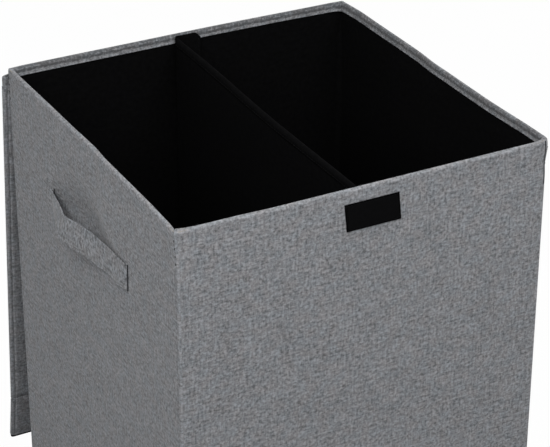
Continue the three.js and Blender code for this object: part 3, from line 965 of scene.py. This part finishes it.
# divider: a sleeved board, bound along the top, with a flange at each end
dividerMake = {
    "lean": [(-196, 0.8), (-34, -0.8), (137, 2.5), (196, 2.2)],  # to the right, by y: it stands askew
    "leanFrom": (200, 600), "footLean": 0.5,
    "boardShort": 2.6, "shortFrom": (560, 597),  # the board ends below the round of its sleeve
    "legStep": 24, "turnSteps": 8, "step": 14, "endStops": (0.6, 1.6, 3.5, 6), "pinched": 0.35,
    "clothThick": 0.4, "clothPinch": 1.2,
    "bindingThick": 0.5, "bindingDrop": 9.0, "bindingRoll": 4.0, "bindingRidge": 0.3,
    "bindingStitchUp": 1.8, "bindingStitchIn": 2, "proud": 0.05,
    "flangeTop": 599.3, "flangeThick": 0.6,
    "flangeCorner": 6.0, "flangeSag": 0.35, "sagFrom": 8,  # its free top corner is cut round, and sags
    "flangeAcross": 5, "flangeAcrossStops": (1, 3), "flangeAlong": 20, "flangeFootStop": 2,
    "flangeStops": (12, 9, 6.5, 4.5, 3, 1.5, 0.6),  # below its top
    "curl": 0.25, "curlSize": 40, "curlFrom": (14, 40),
    # stitched lines: in from the free edge and from the divider, from the foot, and below the top
    "freeLine": (2.4, 9), "sewnLine": (5.4, 12), "lineFoot": 4,
}
sleeveLow, sleeveHigh = boxOf("divider_sleeve")
dividerMiddle = (sleeveLow[0] + sleeveHigh[0]) / 2


def skewPoint(x, y, z):
    foot = dividerMake["footLean"]
    share = foot + (1 - foot) * ease(z, *dividerMake["leanFrom"])
    return x + between(dividerMake["lean"], y) * share, y, z


def sleevedPoint(x, y, z):
    return skewPoint(x, y, z - dividerMake["boardShort"] * ease(z, *dividerMake["shortFrom"]))


def foldedSheet(name, node, look, half, foot, top, roll, thick, pinch=0, ridge=0.0):
    # an upside-down U over the divider's board, pinched at its ends
    make = dividerMake
    legs = stopsBetween(foot, top - roll, make["legStep"])
    outline = [(-half, z) for z in legs]
    for k in range(1, make["turnSteps"]):
        turn = math.pi * k / make["turnSteps"]
        across = -half * math.cos(turn) * (1 - ridge * math.sin(turn))
        outline.append((across, top - roll + roll * math.sin(turn)))
    outline += [(half, z) for z in reversed(legs)]
    reach = sleeveHigh[1]
    ys = stopsBetween(-reach, reach, make["step"], insets=make["endStops"])
    rows = []
    for y in ys:
        share = math.sqrt(min((reach - abs(y)) / pinch, 1)) if pinch else 1
        fill = make["pinched"] + (1 - make["pinched"]) * share
        rows.append([skewPoint(dividerMiddle + x * fill, y, z) for x, z in outline])
    piece = sheetPiece(name, rows, lengthsAlong(outline), ys, thick)
    finishPiece(piece, look, "black_lining", "divider", (node,))


def makeDivider():
    make = dividerMake
    half = (sleeveHigh[0] - sleeveLow[0]) / 2
    foldedSheet("divider_cloth", "divider_sleeve", blackCloth, half, sleeveLow[2], sleeveHigh[2], half,
                make["clothThick"], make["clothPinch"])
    low, high = boxOf("divider_top_binding")
    half, foot = (high[0] - low[0]) / 2, high[2] - make["bindingDrop"]
    foldedSheet("divider_binding", "divider_top_binding", bindingPaintedLightCloth, half, foot, high[2],
                make["bindingRoll"], make["bindingThick"], ridge=make["bindingRidge"])
    reach = sleeveHigh[1] - make["bindingStitchIn"]
    lines = [[skewPoint(dividerMiddle + side * (half + make["proud"]), y, foot + make["bindingStitchUp"])
              for y in stopsBetween(-reach, reach, make["step"])] for side in (-1, 1)]
    stitchRows("divider_binding_stitches", lines, blackThread, "black_lining", "divider", 3)
    bentBoard("divider_inner_board", "divider_board", "divider", sleevedPoint, "dividerCuts")
    for end, side in (("front", -1), ("back", 1)):
        makeFlange(end, side)


def makeFlange(end, side):
    # flat cloth sewn to the divider's end, turned to the right
    make = dividerMake
    low, high = boxOf(f"divider_{end}_flange")
    top, face = make["flangeTop"], low[1] if side > 0 else high[1]
    edgeStop, cornerStop = make["flangeAcrossStops"]
    xs = stopsBetween(low[0], high[0], make["flangeAcross"], (high[0] - cornerStop,), (edgeStop,))
    extra = [low[2] + make["flangeFootStop"]] + [top - stop for stop in make["flangeStops"]]
    zs = stopsBetween(low[2], top, make["flangeAlong"], extra)
    rows = []
    for z in zs:
        row = []
        drop = max(0, make["flangeCorner"] - (top - z))
        for x in xs:
            share = (x - low[0]) / (high[0] - low[0])
            free = ease(top - z, *make["curlFrom"])
            curl = make["curl"] * ripple(x, z, make["curlSize"], side * 3.0) * free
            sag = make["flangeSag"] * share * ease(z, top - make["sagFrom"], top)
            row.append(skewPoint(x - drop * share ** 3, face - side * max(curl, 0), z - sag))
        rows.append(row)
    piece = sheetPiece(f"divider_{end}_flange_cloth", rows, xs, zs, make["flangeThick"], flip=side < 0)
    finishPiece(piece, blackCloth, "black_lining", "divider", (f"divider_{end}_flange",))
    lines = []
    for x, below in ((high[0] - make["freeLine"][0], make["freeLine"][1]),
                     (low[0] + make["sewnLine"][0], make["sewnLine"][1])):
        lines.append([skewPoint(x, face - side * make["proud"], z)
                      for z in stopsBetween(low[2] + make["lineFoot"], top - below, make["flangeAlong"])])
    stitchRows(f"divider_{end}_flange_stitches", lines, blackThread, "black_lining", "divider", 5)


makeDivider()
print("base and divider made")

# fastening tapes and patches; shares are of the height that a tape stands off what it lies on
tapeMake = {
    "across": 5, "along": 8, "stops": (0.25, 0.7, 1.2, 1.55, 1.85, 2.2, 2.7, 3.4),
    "edgeShare": 0.25, "rimShare": 0.6, "edgeRound": 0.7,
    "pileShare": 0.15, "pileWide": 1.2, "pileFrom": (1.2, 3.2),
    "groove": 1.8, "grooveDrop": 0.42, "grooveWide": 0.45,
    "clothShare": 0.18, "threadShare": 0.5, "threadStep": 20,
    "patchSkew": 0.10,
}


def padHeight(edge, rise):
    # height of a sewn-on tape above what it lies on, by the distance from its edge
    make = tapeMake
    groove = make["groove"]
    rim = make["edgeShare"] + make["rimShare"] * math.sqrt(min(edge / make["edgeRound"], 1))
    pile = make["pileShare"] * ease(edge, groove, groove + make["pileWide"])
    return rise * (rim + pile - make["grooveDrop"] * bell(edge, groove, make["grooveWide"]))


def tapePiece(name, node, place, rise, look, body, flip=False, sized=None):
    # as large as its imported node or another; place turns (across, along, height) into a point of the hamper
    make = tapeMake
    low, high = boxOf(sized or node)
    width, length = high[0] - low[0], high[2] - low[2]
    us = stopsBetween(-width / 2, width / 2, make["across"], insets=make["stops"])
    vs = stopsBetween(-length / 2, length / 2, make["along"], insets=make["stops"])
    edges = [[min(width / 2 - abs(u), length / 2 - abs(v)) for u in us] for v in vs]
    rows = [[place(u, v, padHeight(edge, rise)) for u, edge in zip(us, row)] for v, row in zip(vs, edges)]
    piece = sheetPiece(name, rows, us, vs, make["clothShare"] * rise, flip=flip,
                       toneMark=lambda i, j: ease(edges[i][j], *make["pileFrom"]))
    finishPiece(piece, look, "fastening_tape", body, (node,))
    u, v = width / 2 - make["groove"], length / 2 - make["groove"]
    ring = [(-u, -v), (u, -v), (u, v), (-u, v), (-u, -v)]
    line = []
    for (uA, vA), (uB, vB) in zip(ring, ring[1:]):
        count = max(1, round(math.dist((uA, vA), (uB, vB)) / make["threadStep"]))
        line += [place(uA + (uB - uA) * k / count, vA + (vB - vA) * k / count, rise * make["threadShare"])
                 for k in range(count)]
    stitchRows(f"{name}_stitches", [line + [line[0]]], blackThread, "fastening_tape", body, 11, "tape")


def makeTapes():
    low, high = boxOf("front_loop_patch")
    middle, wall, skew = [(low[i] + high[i]) / 2 for i in range(3)], high[1], tapeMake["patchSkew"]
    tapePiece("front_patch", "front_loop_patch",
              lambda u, v, h: (middle[0] + u - v * skew, wall - h, middle[2] + v),
              high[1] - low[1], loopTape, "hamper_body")
    for end, side in (("front", -1), ("back", 1)):
        for kind, body, look in (("loop", "hamper_body", loopTape), ("hook", "divider", hookTape)):
            node = f"{end}_divider_loop_strip" if kind == "loop" else f"divider_{end}_hook_strip"
            low, high = boxOf(node)
            centre = [(low[i] + high[i]) / 2 for i in range(3)]
            way = -side if kind == "loop" else side  # loops face into the hamper, hooks the wall
            base = low[1] if way > 0 else high[1]

            def place(u, v, h, centre=centre, base=base, way=way):
                return skewPoint(centre[0] + u, base + way * h, centre[2] + v)

            tapePiece(f"{end}_{kind}_tape", node, place, high[1] - low[1], look, body, flip=way > 0)


makeTapes()
print("tapes made")

# carrying straps: slack bands between two slits
strapMake = {
    "thick": 1.5, "width": 29.0,
    "rows": 84, "smooth": 12,  # along it, and between two places below
    "shares": (0, 0.01, 0.03, 0.06, 0.085, 0.11, 0.16, 0.3, 0.5, 0.7, 0.84, 0.89, 0.915, 0.94, 0.97, 0.99, 1),
    "edgeRound": 0.9,
    "seamIn": 2.6, "seamDent": 0.22, "seamWide": 0.6,  # stitched line in from each edge
    "seamRun": (-84, 92), "seamRise": 0.93,  # along the wall, and in thicknesses
    "crown": 0.3, "crownSize": 30,
    # each edge by place along the wall (towards the rear), stand-off from the wall and height
    "topEdge": [(-102, -3.0, 504), (-91, -3.0, 505), (-88.4, -2.8, 506), (-86.8, -1.2, 507.4),
                (-84.8, 0.5, 509.6), (-80, 1.0, 511.0), (-72, 1.2, 511.0), (-44.5, 2.0, 511.2),
                (-4, 5.4, 509.2), (19.8, 9.2, 508.4), (33, 11.4, 507.6), (42, 10.4, 506.4),
                (51, 8.3, 506.6), (61, 6.5, 507.4), (74, 4.9, 508.4), (86, 2.9, 508.8), (93, 1.0, 508),
                (97, -1.2, 505), (109, -1.6, 504)],
    "bottomEdge": [(-102, -3.0, 482), (-91, -3.0, 482), (-88.4, -2.8, 482), (-86.8, -1.2, 481.8),
                   (-84.8, 0.5, 481.5), (-79, 1.2, 480.8), (-66, 2.4, 479.0), (-52, 2.3, 481.2),
                   (-26.5, 5.8, 480.4), (-7, 8.6, 479.5), (19, 12.4, 478.0), (36, 13.8, 477.6),
                   (50, 13.8, 477.8), (59, 12.2, 478.2), (68, 9.0, 479.6), (77, 5.4, 480.4),
                   (86, 2.6, 481.0), (93, 0.8, 481.6), (97, -1.2, 482), (109, -1.6, 482)],
}


def splineThrough(knots, count):
    # an even curve through the knots, each a tuple
    points = [Vector(knot) for knot in knots]
    padded = [2 * points[0] - points[1]] + points + [2 * points[-1] - points[-2]]
    made = []
    for i in range(1, len(padded) - 2):
        a, b, c, d = padded[i - 1:i + 3]
        for k in range(count):
            t = k / count
            made.append(0.5 * (2 * b + (c - a) * t + (2 * a - 5 * b + 4 * c - d) * t * t
                               + (3 * b - a - 3 * c + d) * t * t * t))
    return made + [points[-1]]


def evenly(points, count):
    # the same curve with its points at even distances
    lengths = lengthsAlong(points)
    made, k = [], 0
    for i in range(count + 1):
        want = lengths[-1] * i / count
        while k < len(lengths) - 2 and lengths[k + 1] < want:
            k += 1
        made.append(points[k].lerp(points[k + 1], (want - lengths[k]) / (lengths[k + 1] - lengths[k])))
    return made


def makeStrap(name, side, node):
    make = strapMake
    tops, bottoms = (evenly(splineThrough(make[edge], make["smooth"]), make["rows"])
                     for edge in ("topEdge", "bottomEdge"))
    shares, width, thick = make["shares"], make["width"], make["thick"]
    measures = lengthsAlong([(top + bottom) / 2 for top, bottom in zip(tops, bottoms)])
    seamShare = make["seamIn"] / width
    rows, seams = [], [[], []]
    for i, (top, bottom, measure) in enumerate(zip(tops, bottoms, measures)):
        before, after = max(i - 1, 0), min(i + 1, len(tops) - 1)
        run = (tops[after] + bottoms[after] - tops[before] - bottoms[before]) / 2
        normal = Vector((-run.y, run.x, 0)).normalized()
        ring = []
        for face in (1, -1):
            for share in shares if face > 0 else shares[-2:0:-1]:
                edge = min(share, 1 - share) * width
                half = thick / 2 * math.sqrt(min(edge / make["edgeRound"], 1))
                half -= make["seamDent"] * bell(edge, make["seamIn"], make["seamWide"])
                swell = ripple(measure, share * width, make["crownSize"], 8.0)
                crown = make["crown"] * math.sin(share * math.pi) * swell
                spot = bottom.lerp(top, share) + normal * (face * half + crown + thick / 2)
                ring.append(settlePoint(side * (halfWidth + spot.y), spot.x, spot.z))
        rows.append(ring)
        if make["seamRun"][0] < bottom.x < make["seamRun"][1]:
            for line, share in zip(seams, (seamShare, 1 - seamShare)):
                spot = bottom.lerp(top, share) + normal * thick * make["seamRise"]
                line.append(settlePoint(side * (halfWidth + spot.y), spot.x, spot.z))
    around = lengthsAlong(rows[0] + rows[0][:1])
    piece = sheetPiece(name, rows, around, measures, 0, closed=True, flip=side > 0)
    shape = bmesh.new()
    shape.from_mesh(piece.data)
    loops = [edge for edge in shape.edges if edge.is_boundary]
    bmesh.ops.holes_fill(shape, edges=loops, sides=0)
    bmesh.ops.recalc_face_normals(shape, faces=shape.faces)
    shape.to_mesh(piece.data)
    shape.free()
    finishPiece(piece, strapPaintedLightCloth, "grey_cloth", "hamper_body", (node,))
    stitchRows(f"{name}_stitches", seams, greyThread, "grey_cloth", "hamper_body", 13)


makeStrap("left_strap", -1, "left_handle_strap")
makeStrap("right_strap", 1, "right_handle_strap")
print("straps made")

# lid, hinge and flap
lidMake = {
    "seam": (204.3, 591.0),  # hinge line on the back wall, as y and z
    "hang": math.radians(5.3), "flapTurn": math.radians(10.8),
    "strip": 11.0,  # from the hinge line to the lid's fold line
    "length": 411.4, "flapLength": 59.8, "half": 206.0,
    "corner": 5.0, "cornerSteps": 6,  # rounding of the flap's free corners
    "step": 12, "foldGap": 1.0,
    "edgeStops": (0.4, 1.2, 3, 5.0, 5.4, 5.8, 6.1, 6.4, 6.8, 7.4, 8.4, 12),
    "foldStops": (0.6, 1.2, 2.0, 2.8, 3.6, 4.6, 7),
    "insetReach": 3, "wave": 0.11, "waveSize": 90, "waveEdge": (9, 40), "waveFold": (4, 30),
    "borderGap": 0.8, "borderStep": 6, "borderStops": (1.2, 2.4, 3.8),
    "patchNear": 16.4, "patchLift": 2.0,  # down from the flap's fold line, and off the flap's middle
}

# both sides of a panel: heights off its middle by the distance from its edge and from a fold; insets at
# its edges, where the lining shows as a dark line below the flap
panelFaces = {
    "cloth": {
        "side": -1, "node": "cover", "look": greyCloth, "slot": "grey_cloth", "thick": 0.6,
        "inset": 0.45, "drop": 0.45,
        "heights": [(0, 0.15), (0.8, 0.45), (5.0, 0.45), (5.8, 0.3), (6.3, 1.35), (7.2, 1.65), (9.0, 1.86),
                    (30, 1.9)],
        "folds": [(0, 0.55), (1.2, 0.8), (2.6, 1.5), (4.5, 1.86)],
    },
    "black_side": {
        "side": 1, "node": "lining", "look": blackCloth, "slot": "black_lining", "thick": 0.4,
        "inset": 0.1, "drop": -3.0,
        "heights": [(0, 0.35), (0.8, 0.5), (5.2, 0.55), (5.9, 0.7), (6.4, 1.33), (8.4, 1.4), (30, 1.44)],
        "folds": [(0, 0.5), (1.4, 0.7), (3.0, 1.3), (5.0, 1.44)],
    },
}


def lidPoint(x, s, n):
    # x across, s down from the lid's fold line, n towards the lining
    seamY, seamZ = lidMake["seam"]
    sin, cos = math.sin(lidMake["hang"]), math.cos(lidMake["hang"])
    down = lidMake["strip"] + s
    return x, seamY + down * sin + n * cos, seamZ - down * cos + n * sin


def flapPoint(x, s, n):
    y, z = lidPoint(0, lidMake["length"], 0)[1:]
    sin, cos = math.sin(lidMake["flapTurn"]), math.cos(lidMake["flapTurn"])
    return x, y + s * sin + n * cos, z - s * cos + n * sin


def roundCorner(x, s, far):
    # pull the corner of a panel onto an arc
    radius = lidMake["corner"]
    a, b = abs(x) - (lidMake["half"] - radius), s - (far - radius)
    if a <= 0 or b <= 0:
        return x, s
    scale = max(a, b) / math.hypot(a, b)
    return math.copysign(lidMake["half"] - radius + a * scale, x), far - radius + b * scale


def makePanel(name, place, near, far, openEnd, seed):
    make = lidMake
    half = make["half"]
    xs = stopsBetween(-half, half, make["step"], insets=make["edgeStops"])
    extra = [near + stop for stop in make["foldStops"]]
    extra += [far - stop for stop in make["edgeStops" if openEnd else "foldStops"]]
    ss = stopsBetween(near, far, make["step"], extra)
    for kind, face in panelFaces.items():
        side = face["side"]
        rows = []
        for s in ss:
            row = []
            for x in xs:
                sideEdge = half - abs(x)
                edge = min(sideEdge, far - s) if openEnd else sideEdge
                fold = s - near if openEnd else min(s - near, far - s)
                rise = min(between(face["heights"], edge), between(face["folds"], fold))
                calm = ease(edge, *make["waveEdge"]) * ease(fold, *make["waveFold"])
                rise += make["wave"] * ripple(x, s, make["waveSize"], seed) * calm
                pulled = roundCorner(x, s, far) if openEnd else (x, s)
                inset = face["inset"] * (1 - ease(sideEdge, 0, make["insetReach"]))
                drop = face["drop"] * (1 - ease(far - s, 0, make["insetReach"])) * openEnd
                row.append(place(pulled[0] - inset * math.copysign(1, x), pulled[1] - drop, side * rise))
            rows.append(row)
        piece = sheetPiece(f"{name}_{kind}", rows, xs, ss, face["thick"], flip=side > 0)
        finishPiece(piece, face["look"], face["slot"], name, (f"{name}_{face['node']}",))


borderMake = {
    # distance in from the edge and height off the middle, from the outer face round to the inner one
    "outline": [(6.0, -0.4), (5.7, -0.7), (5.0, -1.0), (3.9, -1.5), (2.6, -1.65), (1.2, -1.3),
                (0.25, -0.6), (0.0, 0.05), (0.12, 0.55), (0.7, 0.98), (1.8, 1.2), (3.6, 1.18),
                (4.9, 0.96), (5.5, 0.92), (5.75, 0.6)],
    # the borders' colour is lifted by this share: painted light, for the rolled border catching the light
    "thick": 0.45, "toneMark": 0.9,
    "wobble": 0.14, "wobbleSize": 9, "wobbleIn": 3, "plump": 0.12, "plumpSize": 14,
    "foldShare": 0.4, "foldReach": (0.6, 4.5),  # thinner at the folds
    "stitchIn": 5.9, "stitchHeights": (-0.75, 0.8), "stitchFrom": 3,
}


def makeBorder(name, place, path, body, seed, far=math.inf):
    # a sewn border along a path of (x, s, direction in from the edge), with folds at s 0 and far
    make = borderMake

    def spotFrom(x, s, inward, inset, height):
        return place(x + inward[0] * inset, s + inward[1] * inset, height)

    measures = lengthsAlong([(x, s) for x, s, inward in path])
    rows = []
    for (x, s, inward), measure in zip(path, measures):
        wobble = make["wobble"] * ripple(measure, 0, make["wobbleSize"], seed)
        full = make["foldShare"] + (1 - make["foldShare"]) * ease(min(s, far - s), *make["foldReach"])
        full *= 1 + make["plump"] * ripple(measure, 30, make["plumpSize"], seed)
        rows.append([spotFrom(x, s, inward, inset + wobble * (inset > make["wobbleIn"]), height * full)
                     for inset, height in make["outline"]])
    piece = sheetPiece(name, rows, lengthsAlong(make["outline"]), measures, make["thick"],
                       toneMark=lambda i, j: make["toneMark"])
    finishPiece(piece, greyCloth, "grey_cloth", body)
    kept = [step for step in path if min(step[1], far - step[1]) > make["stitchFrom"]]
    lines = [[spotFrom(*step, make["stitchIn"], height) for step in kept] for height in make["stitchHeights"]]
    stitchRows(f"{name}_stitches", lines, darkThread, "grey_cloth", body, seed, "lid border")


def edgePath(side, far):
    steps = stopsBetween(lidMake["borderGap"], far, lidMake["borderStep"], insets=lidMake["borderStops"])
    line = [(side * lidMake["half"], s, (-side, 0)) for s in steps]
    return line if side < 0 else line[::-1]


def makeLid():
    make = lidMake
    half, length, flapLength = make["half"], make["length"], make["flapLength"]
    makePanel("lid", lidPoint, make["foldGap"], length - make["foldGap"], False, 3.0)
    makePanel("flap", flapPoint, make["foldGap"], flapLength, True, 5.0)
    for kind, side, seed in (("left", -1, 21), ("right", 1, 22)):
        path = edgePath(side, length - make["borderGap"])
        makeBorder(f"lid_{kind}_border", lidPoint, path, "lid", seed, length)
    radius = make["corner"]
    path = edgePath(-1, flapLength - radius)
    for side in (-1, 1):
        turns = [math.pi / 2 * k / make["cornerSteps"] for k in range(1, make["cornerSteps"])]
        if side > 0:
            bottom = stopsBetween(radius - half, half - radius, make["borderStep"])
            path += [(x, flapLength, (0, -1)) for x in bottom]
            turns.reverse()
        for turn in turns:
            out = (side * math.cos(turn), math.sin(turn))
            path.append((side * (half - radius) + radius * out[0], flapLength - radius + radius * out[1],
                         (-out[0], -out[1])))
    path += edgePath(1, flapLength - radius)
    makeBorder("flap_border", flapPoint, path, "flap", 23)


makeLid()

# cloth across the folds at the back wall, at the lid's edge and between lid and flap
foldMake = {
    "half": 205.6, "step": 14, "stops": (0.5, 3),
    # on the back wall: y, height above the seam and half width of each row
    "tab": [(202.75, 7.4, 198.5), (202.75, 6.9, 198.5), (202.75, 5.5, 198.5), (202.75, 4, 198.5),
            (202.75, 2.6, 198.5), (202.75, 1.6, 199.2), (203.0, 0.9, 201.2), (203.5, 0.3, 203.6),
            (203.85, -0.3, 204.9)],
    "tabDroop": (0.5, 7.4),  # its top edge sinks with the back rim, between these heights above the seam
    "tabReach": 1.3, "tabThick": 0.9, "clothMiddle": -0.45,
    "tabStrip": (-10, -9.2, -8, -6.5, -5),
    # rows down from the lid's fold line
    "strip": (-9.4, -8, -6, -4, -2.6, -1.6, -0.8, 0, 0.8, 1.6, 2.6, 4),
    "stripReach": 1.3, "stripThick": 1.1, "stripMiddle": -0.5,
    # rows to both sides of the flap's fold line
    "flapStops": (0.5, 1.2, 2, 3, 4.5), "flapReach": 1.5, "flapThick": 0.9,
}


def foldCloth(name, outline, start, end, nodes, thick, halves=None, droop=None):
    # an outline of (y, z) run over the lid's width, or to the half width of each row
    make = foldMake
    half = make["half"]
    xs = stopsBetween(-half, half, make["step"], insets=make["stops"])
    rows = [[(x * wide / half, y, z) for x in xs]
            for (y, z), wide in zip(outline, halves or [half] * len(outline))]
    if droop:
        low, high = (lidMake["seam"][1] + height for height in droop)
        rows = [[(x, y, z - between(bodySet["backDroop"], x) * ease(z, low, high)) for x, y, z in row]
                for row in rows]
    piece = sheetPiece(name, rows, xs, lengthsAlong(outline), thick, flip=True)
    finishPiece(piece, greyCloth, "grey_cloth", None, nodes)
    [value * mm for value in (0, *start)]
    [value * mm for value in (0, *end)]
    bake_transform(piece)


def alongFold(place, stations, height):
    return [place(0, s, height)[1:] for s in stations]


def makeFolds():
    make = foldMake
    seamY, seamZ = lidMake["seam"]
    reach, middle = make["tabReach"], make["clothMiddle"]
    outline = [(y, seamZ + height) for y, height, wide in make["tab"]]
    outline += alongFold(lidPoint, make["tabStrip"], middle)
    halves = [wide for y, height, wide in make["tab"]] + [make["half"]] * len(make["tabStrip"])
    foldCloth("hinge_tab_cloth", outline, (seamY, seamZ + reach),
              (seamY, seamZ - reach), ("lid_hinge_tab",), make["tabThick"], halves, make["tabDroop"])
    start, end = alongFold(lidPoint, (-make["stripReach"], make["stripReach"]), 0)
    foldCloth("hinge_strip_cloth", alongFold(lidPoint, make["strip"], make["stripMiddle"]),
              start, end, ("lid_hinge_strip",), make["stripThick"])
    length, stops = lidMake["length"], make["flapStops"]
    outline = alongFold(lidPoint, [length - stop for stop in reversed(stops)], middle)
    outline += alongFold(flapPoint, stops, middle)
    start = alongFold(lidPoint, [length - make["flapReach"]], 0)[0]
    end = alongFold(flapPoint, [make["flapReach"]], 0)[0]
    foldCloth("flap_fold_cloth", outline, start, end, (), make["flapThick"])


makeFolds()


def makeFlapPatch():
    # where it meets the front patch when the lid is closed
    low, high = boxOf("front_loop_patch")
    middleX = (low[0] + high[0]) / 2
    middleS = lidMake["patchNear"] + (high[2] - low[2]) / 2
    tapePiece("flap_patch", "flap_hook_patch",
              lambda u, v, h: flapPoint(middleX + u, middleS - v, lidMake["patchLift"] + h),
              1.0, hookTape, "flap", flip=True, sized="front_loop_patch")


makeFlapPatch()
print("lid, hinge and flap made")

# floor, light and camera, in metres and watts
floorMake = {"size": 30.0, "bounce": 0.5, "glow": 0.98}  # glow: share of the floor that is plain white
worldMake = {"ambient": 0.3}


def seenDirectly(tree):
    # 1 for the rays that show a thing, 0 for those that only light others
    rays = addNode(tree, "ShaderNodeLightPath").outputs
    return calc(tree, "MAXIMUM", rays["Is Camera Ray"],
                calc(tree, "MAXIMUM", rays["Is Glossy Ray"], rays["Is Transmission Ray"]))


def makeFloor():
    half = floorMake["size"] / 2
    corners = [(-half, -half, 0), (half, -half, 0), (half, half, 0), (-half, half, 0)]
    mesh = bpy.data.meshes.new("floor")
    mesh.from_pydata(corners, [], [(0, 1, 2, 3)])
    floor = newObject("floor", mesh)
    look = bpy.data.materials.new("pale floor")
    look.use_nodes = True
    tree = look.node_tree
    tree.nodes.clear()
    glow = addNode(tree, "ShaderNodeEmission", {"Color": (1, 1, 1, 1), "Strength": 1.0})
    seen = seenDirectly(tree)
    share = calc(tree, "MULTIPLY", seen, floorMake["glow"])
    paperColor = mixColor(tree, seen, (floorMake["bounce"],) * 3, (1, 1, 1))
    paper = addNode(tree, "ShaderNodeBsdfDiffuse", {"Color": paperColor})
    mix = addNode(tree, "ShaderNodeMixShader", {0: share, 1: paper.outputs[0], 2: glow.outputs[0]})
    out = addNode(tree, "ShaderNodeOutputMaterial")
    tree.links.new(mix.outputs[0], out.inputs["Surface"])
    mesh.materials.append(look)


def makeWorld():
    ambient = worldMake["ambient"]
    world = bpy.data.worlds.new("studio")
    bpy.context.scene.world = world
    world.use_nodes = True
    tree = world.node_tree
    tree.nodes.clear()
    strength = calc(tree, "ADD", ambient, calc(tree, "MULTIPLY", seenDirectly(tree), 1.0 - ambient))
    back = addNode(tree, "ShaderNodeBackground", {"Color": (1, 1, 1, 1), "Strength": strength})
    out = addNode(tree, "ShaderNodeOutputWorld")
    tree.links.new(back.outputs[0], out.inputs["Surface"])


def addLamp(name, place, power):
    data = bpy.data.lights.new(name, "AREA")
    data.shape = "RECTANGLE"
    data.size = data.size_y = lampMake["size"]
    data.energy = power
    lamp = newObject(name, data)
    heading = Vector(lampMake["target"]) - Vector(place)
    lamp.matrix_world = Matrix.Translation(place) @ heading.to_track_quat("-Z", "Y").to_matrix().to_4x4()


lampMake = {
    "size": 1.2, "target": (0, 0, 0.4),
    "lamps": {"overhead": ((0.2, -1.2, 1.9), 23.5), "left": ((-1.25, -0.7, 1.9), 22.5)},
}
makeFloor()
makeWorld()
for lampName, (lampPlace, lampPower) in lampMake["lamps"].items():
    addLamp(f"{lampName} lamp", lampPlace, lampPower)

cameraMake = {  # from the lines of the rim in the photograph
    "place": (-0.92863, -1.76212, 1.54281),
    "ahead": (0.412333, 0.776282, -0.476831),
    "lens": 143.325, "sensor": 36.0,  # millimetres
    "clip": (0.05, 100),
}


def makeCamera():
    make = cameraMake
    data = bpy.data.cameras.new("camera")
    data.sensor_fit = "HORIZONTAL"
    data.sensor_width = make["sensor"]
    data.lens = make["lens"]
    data.clip_start, data.clip_end = make["clip"]
    camera = newObject("camera", data)
    ahead = Vector(make["ahead"]).normalized()
    right = ahead.cross(Vector((0, 0, 1))).normalized()
    up = right.cross(ahead)
    turn = Matrix((right, up, -ahead)).transposed().to_4x4()
    camera.matrix_world = Matrix.Translation(make["place"]) @ turn
    bpy.context.scene.camera = camera


makeCamera()
bpy.context.scene.view_settings.view_transform = "Standard"
print("stage made")
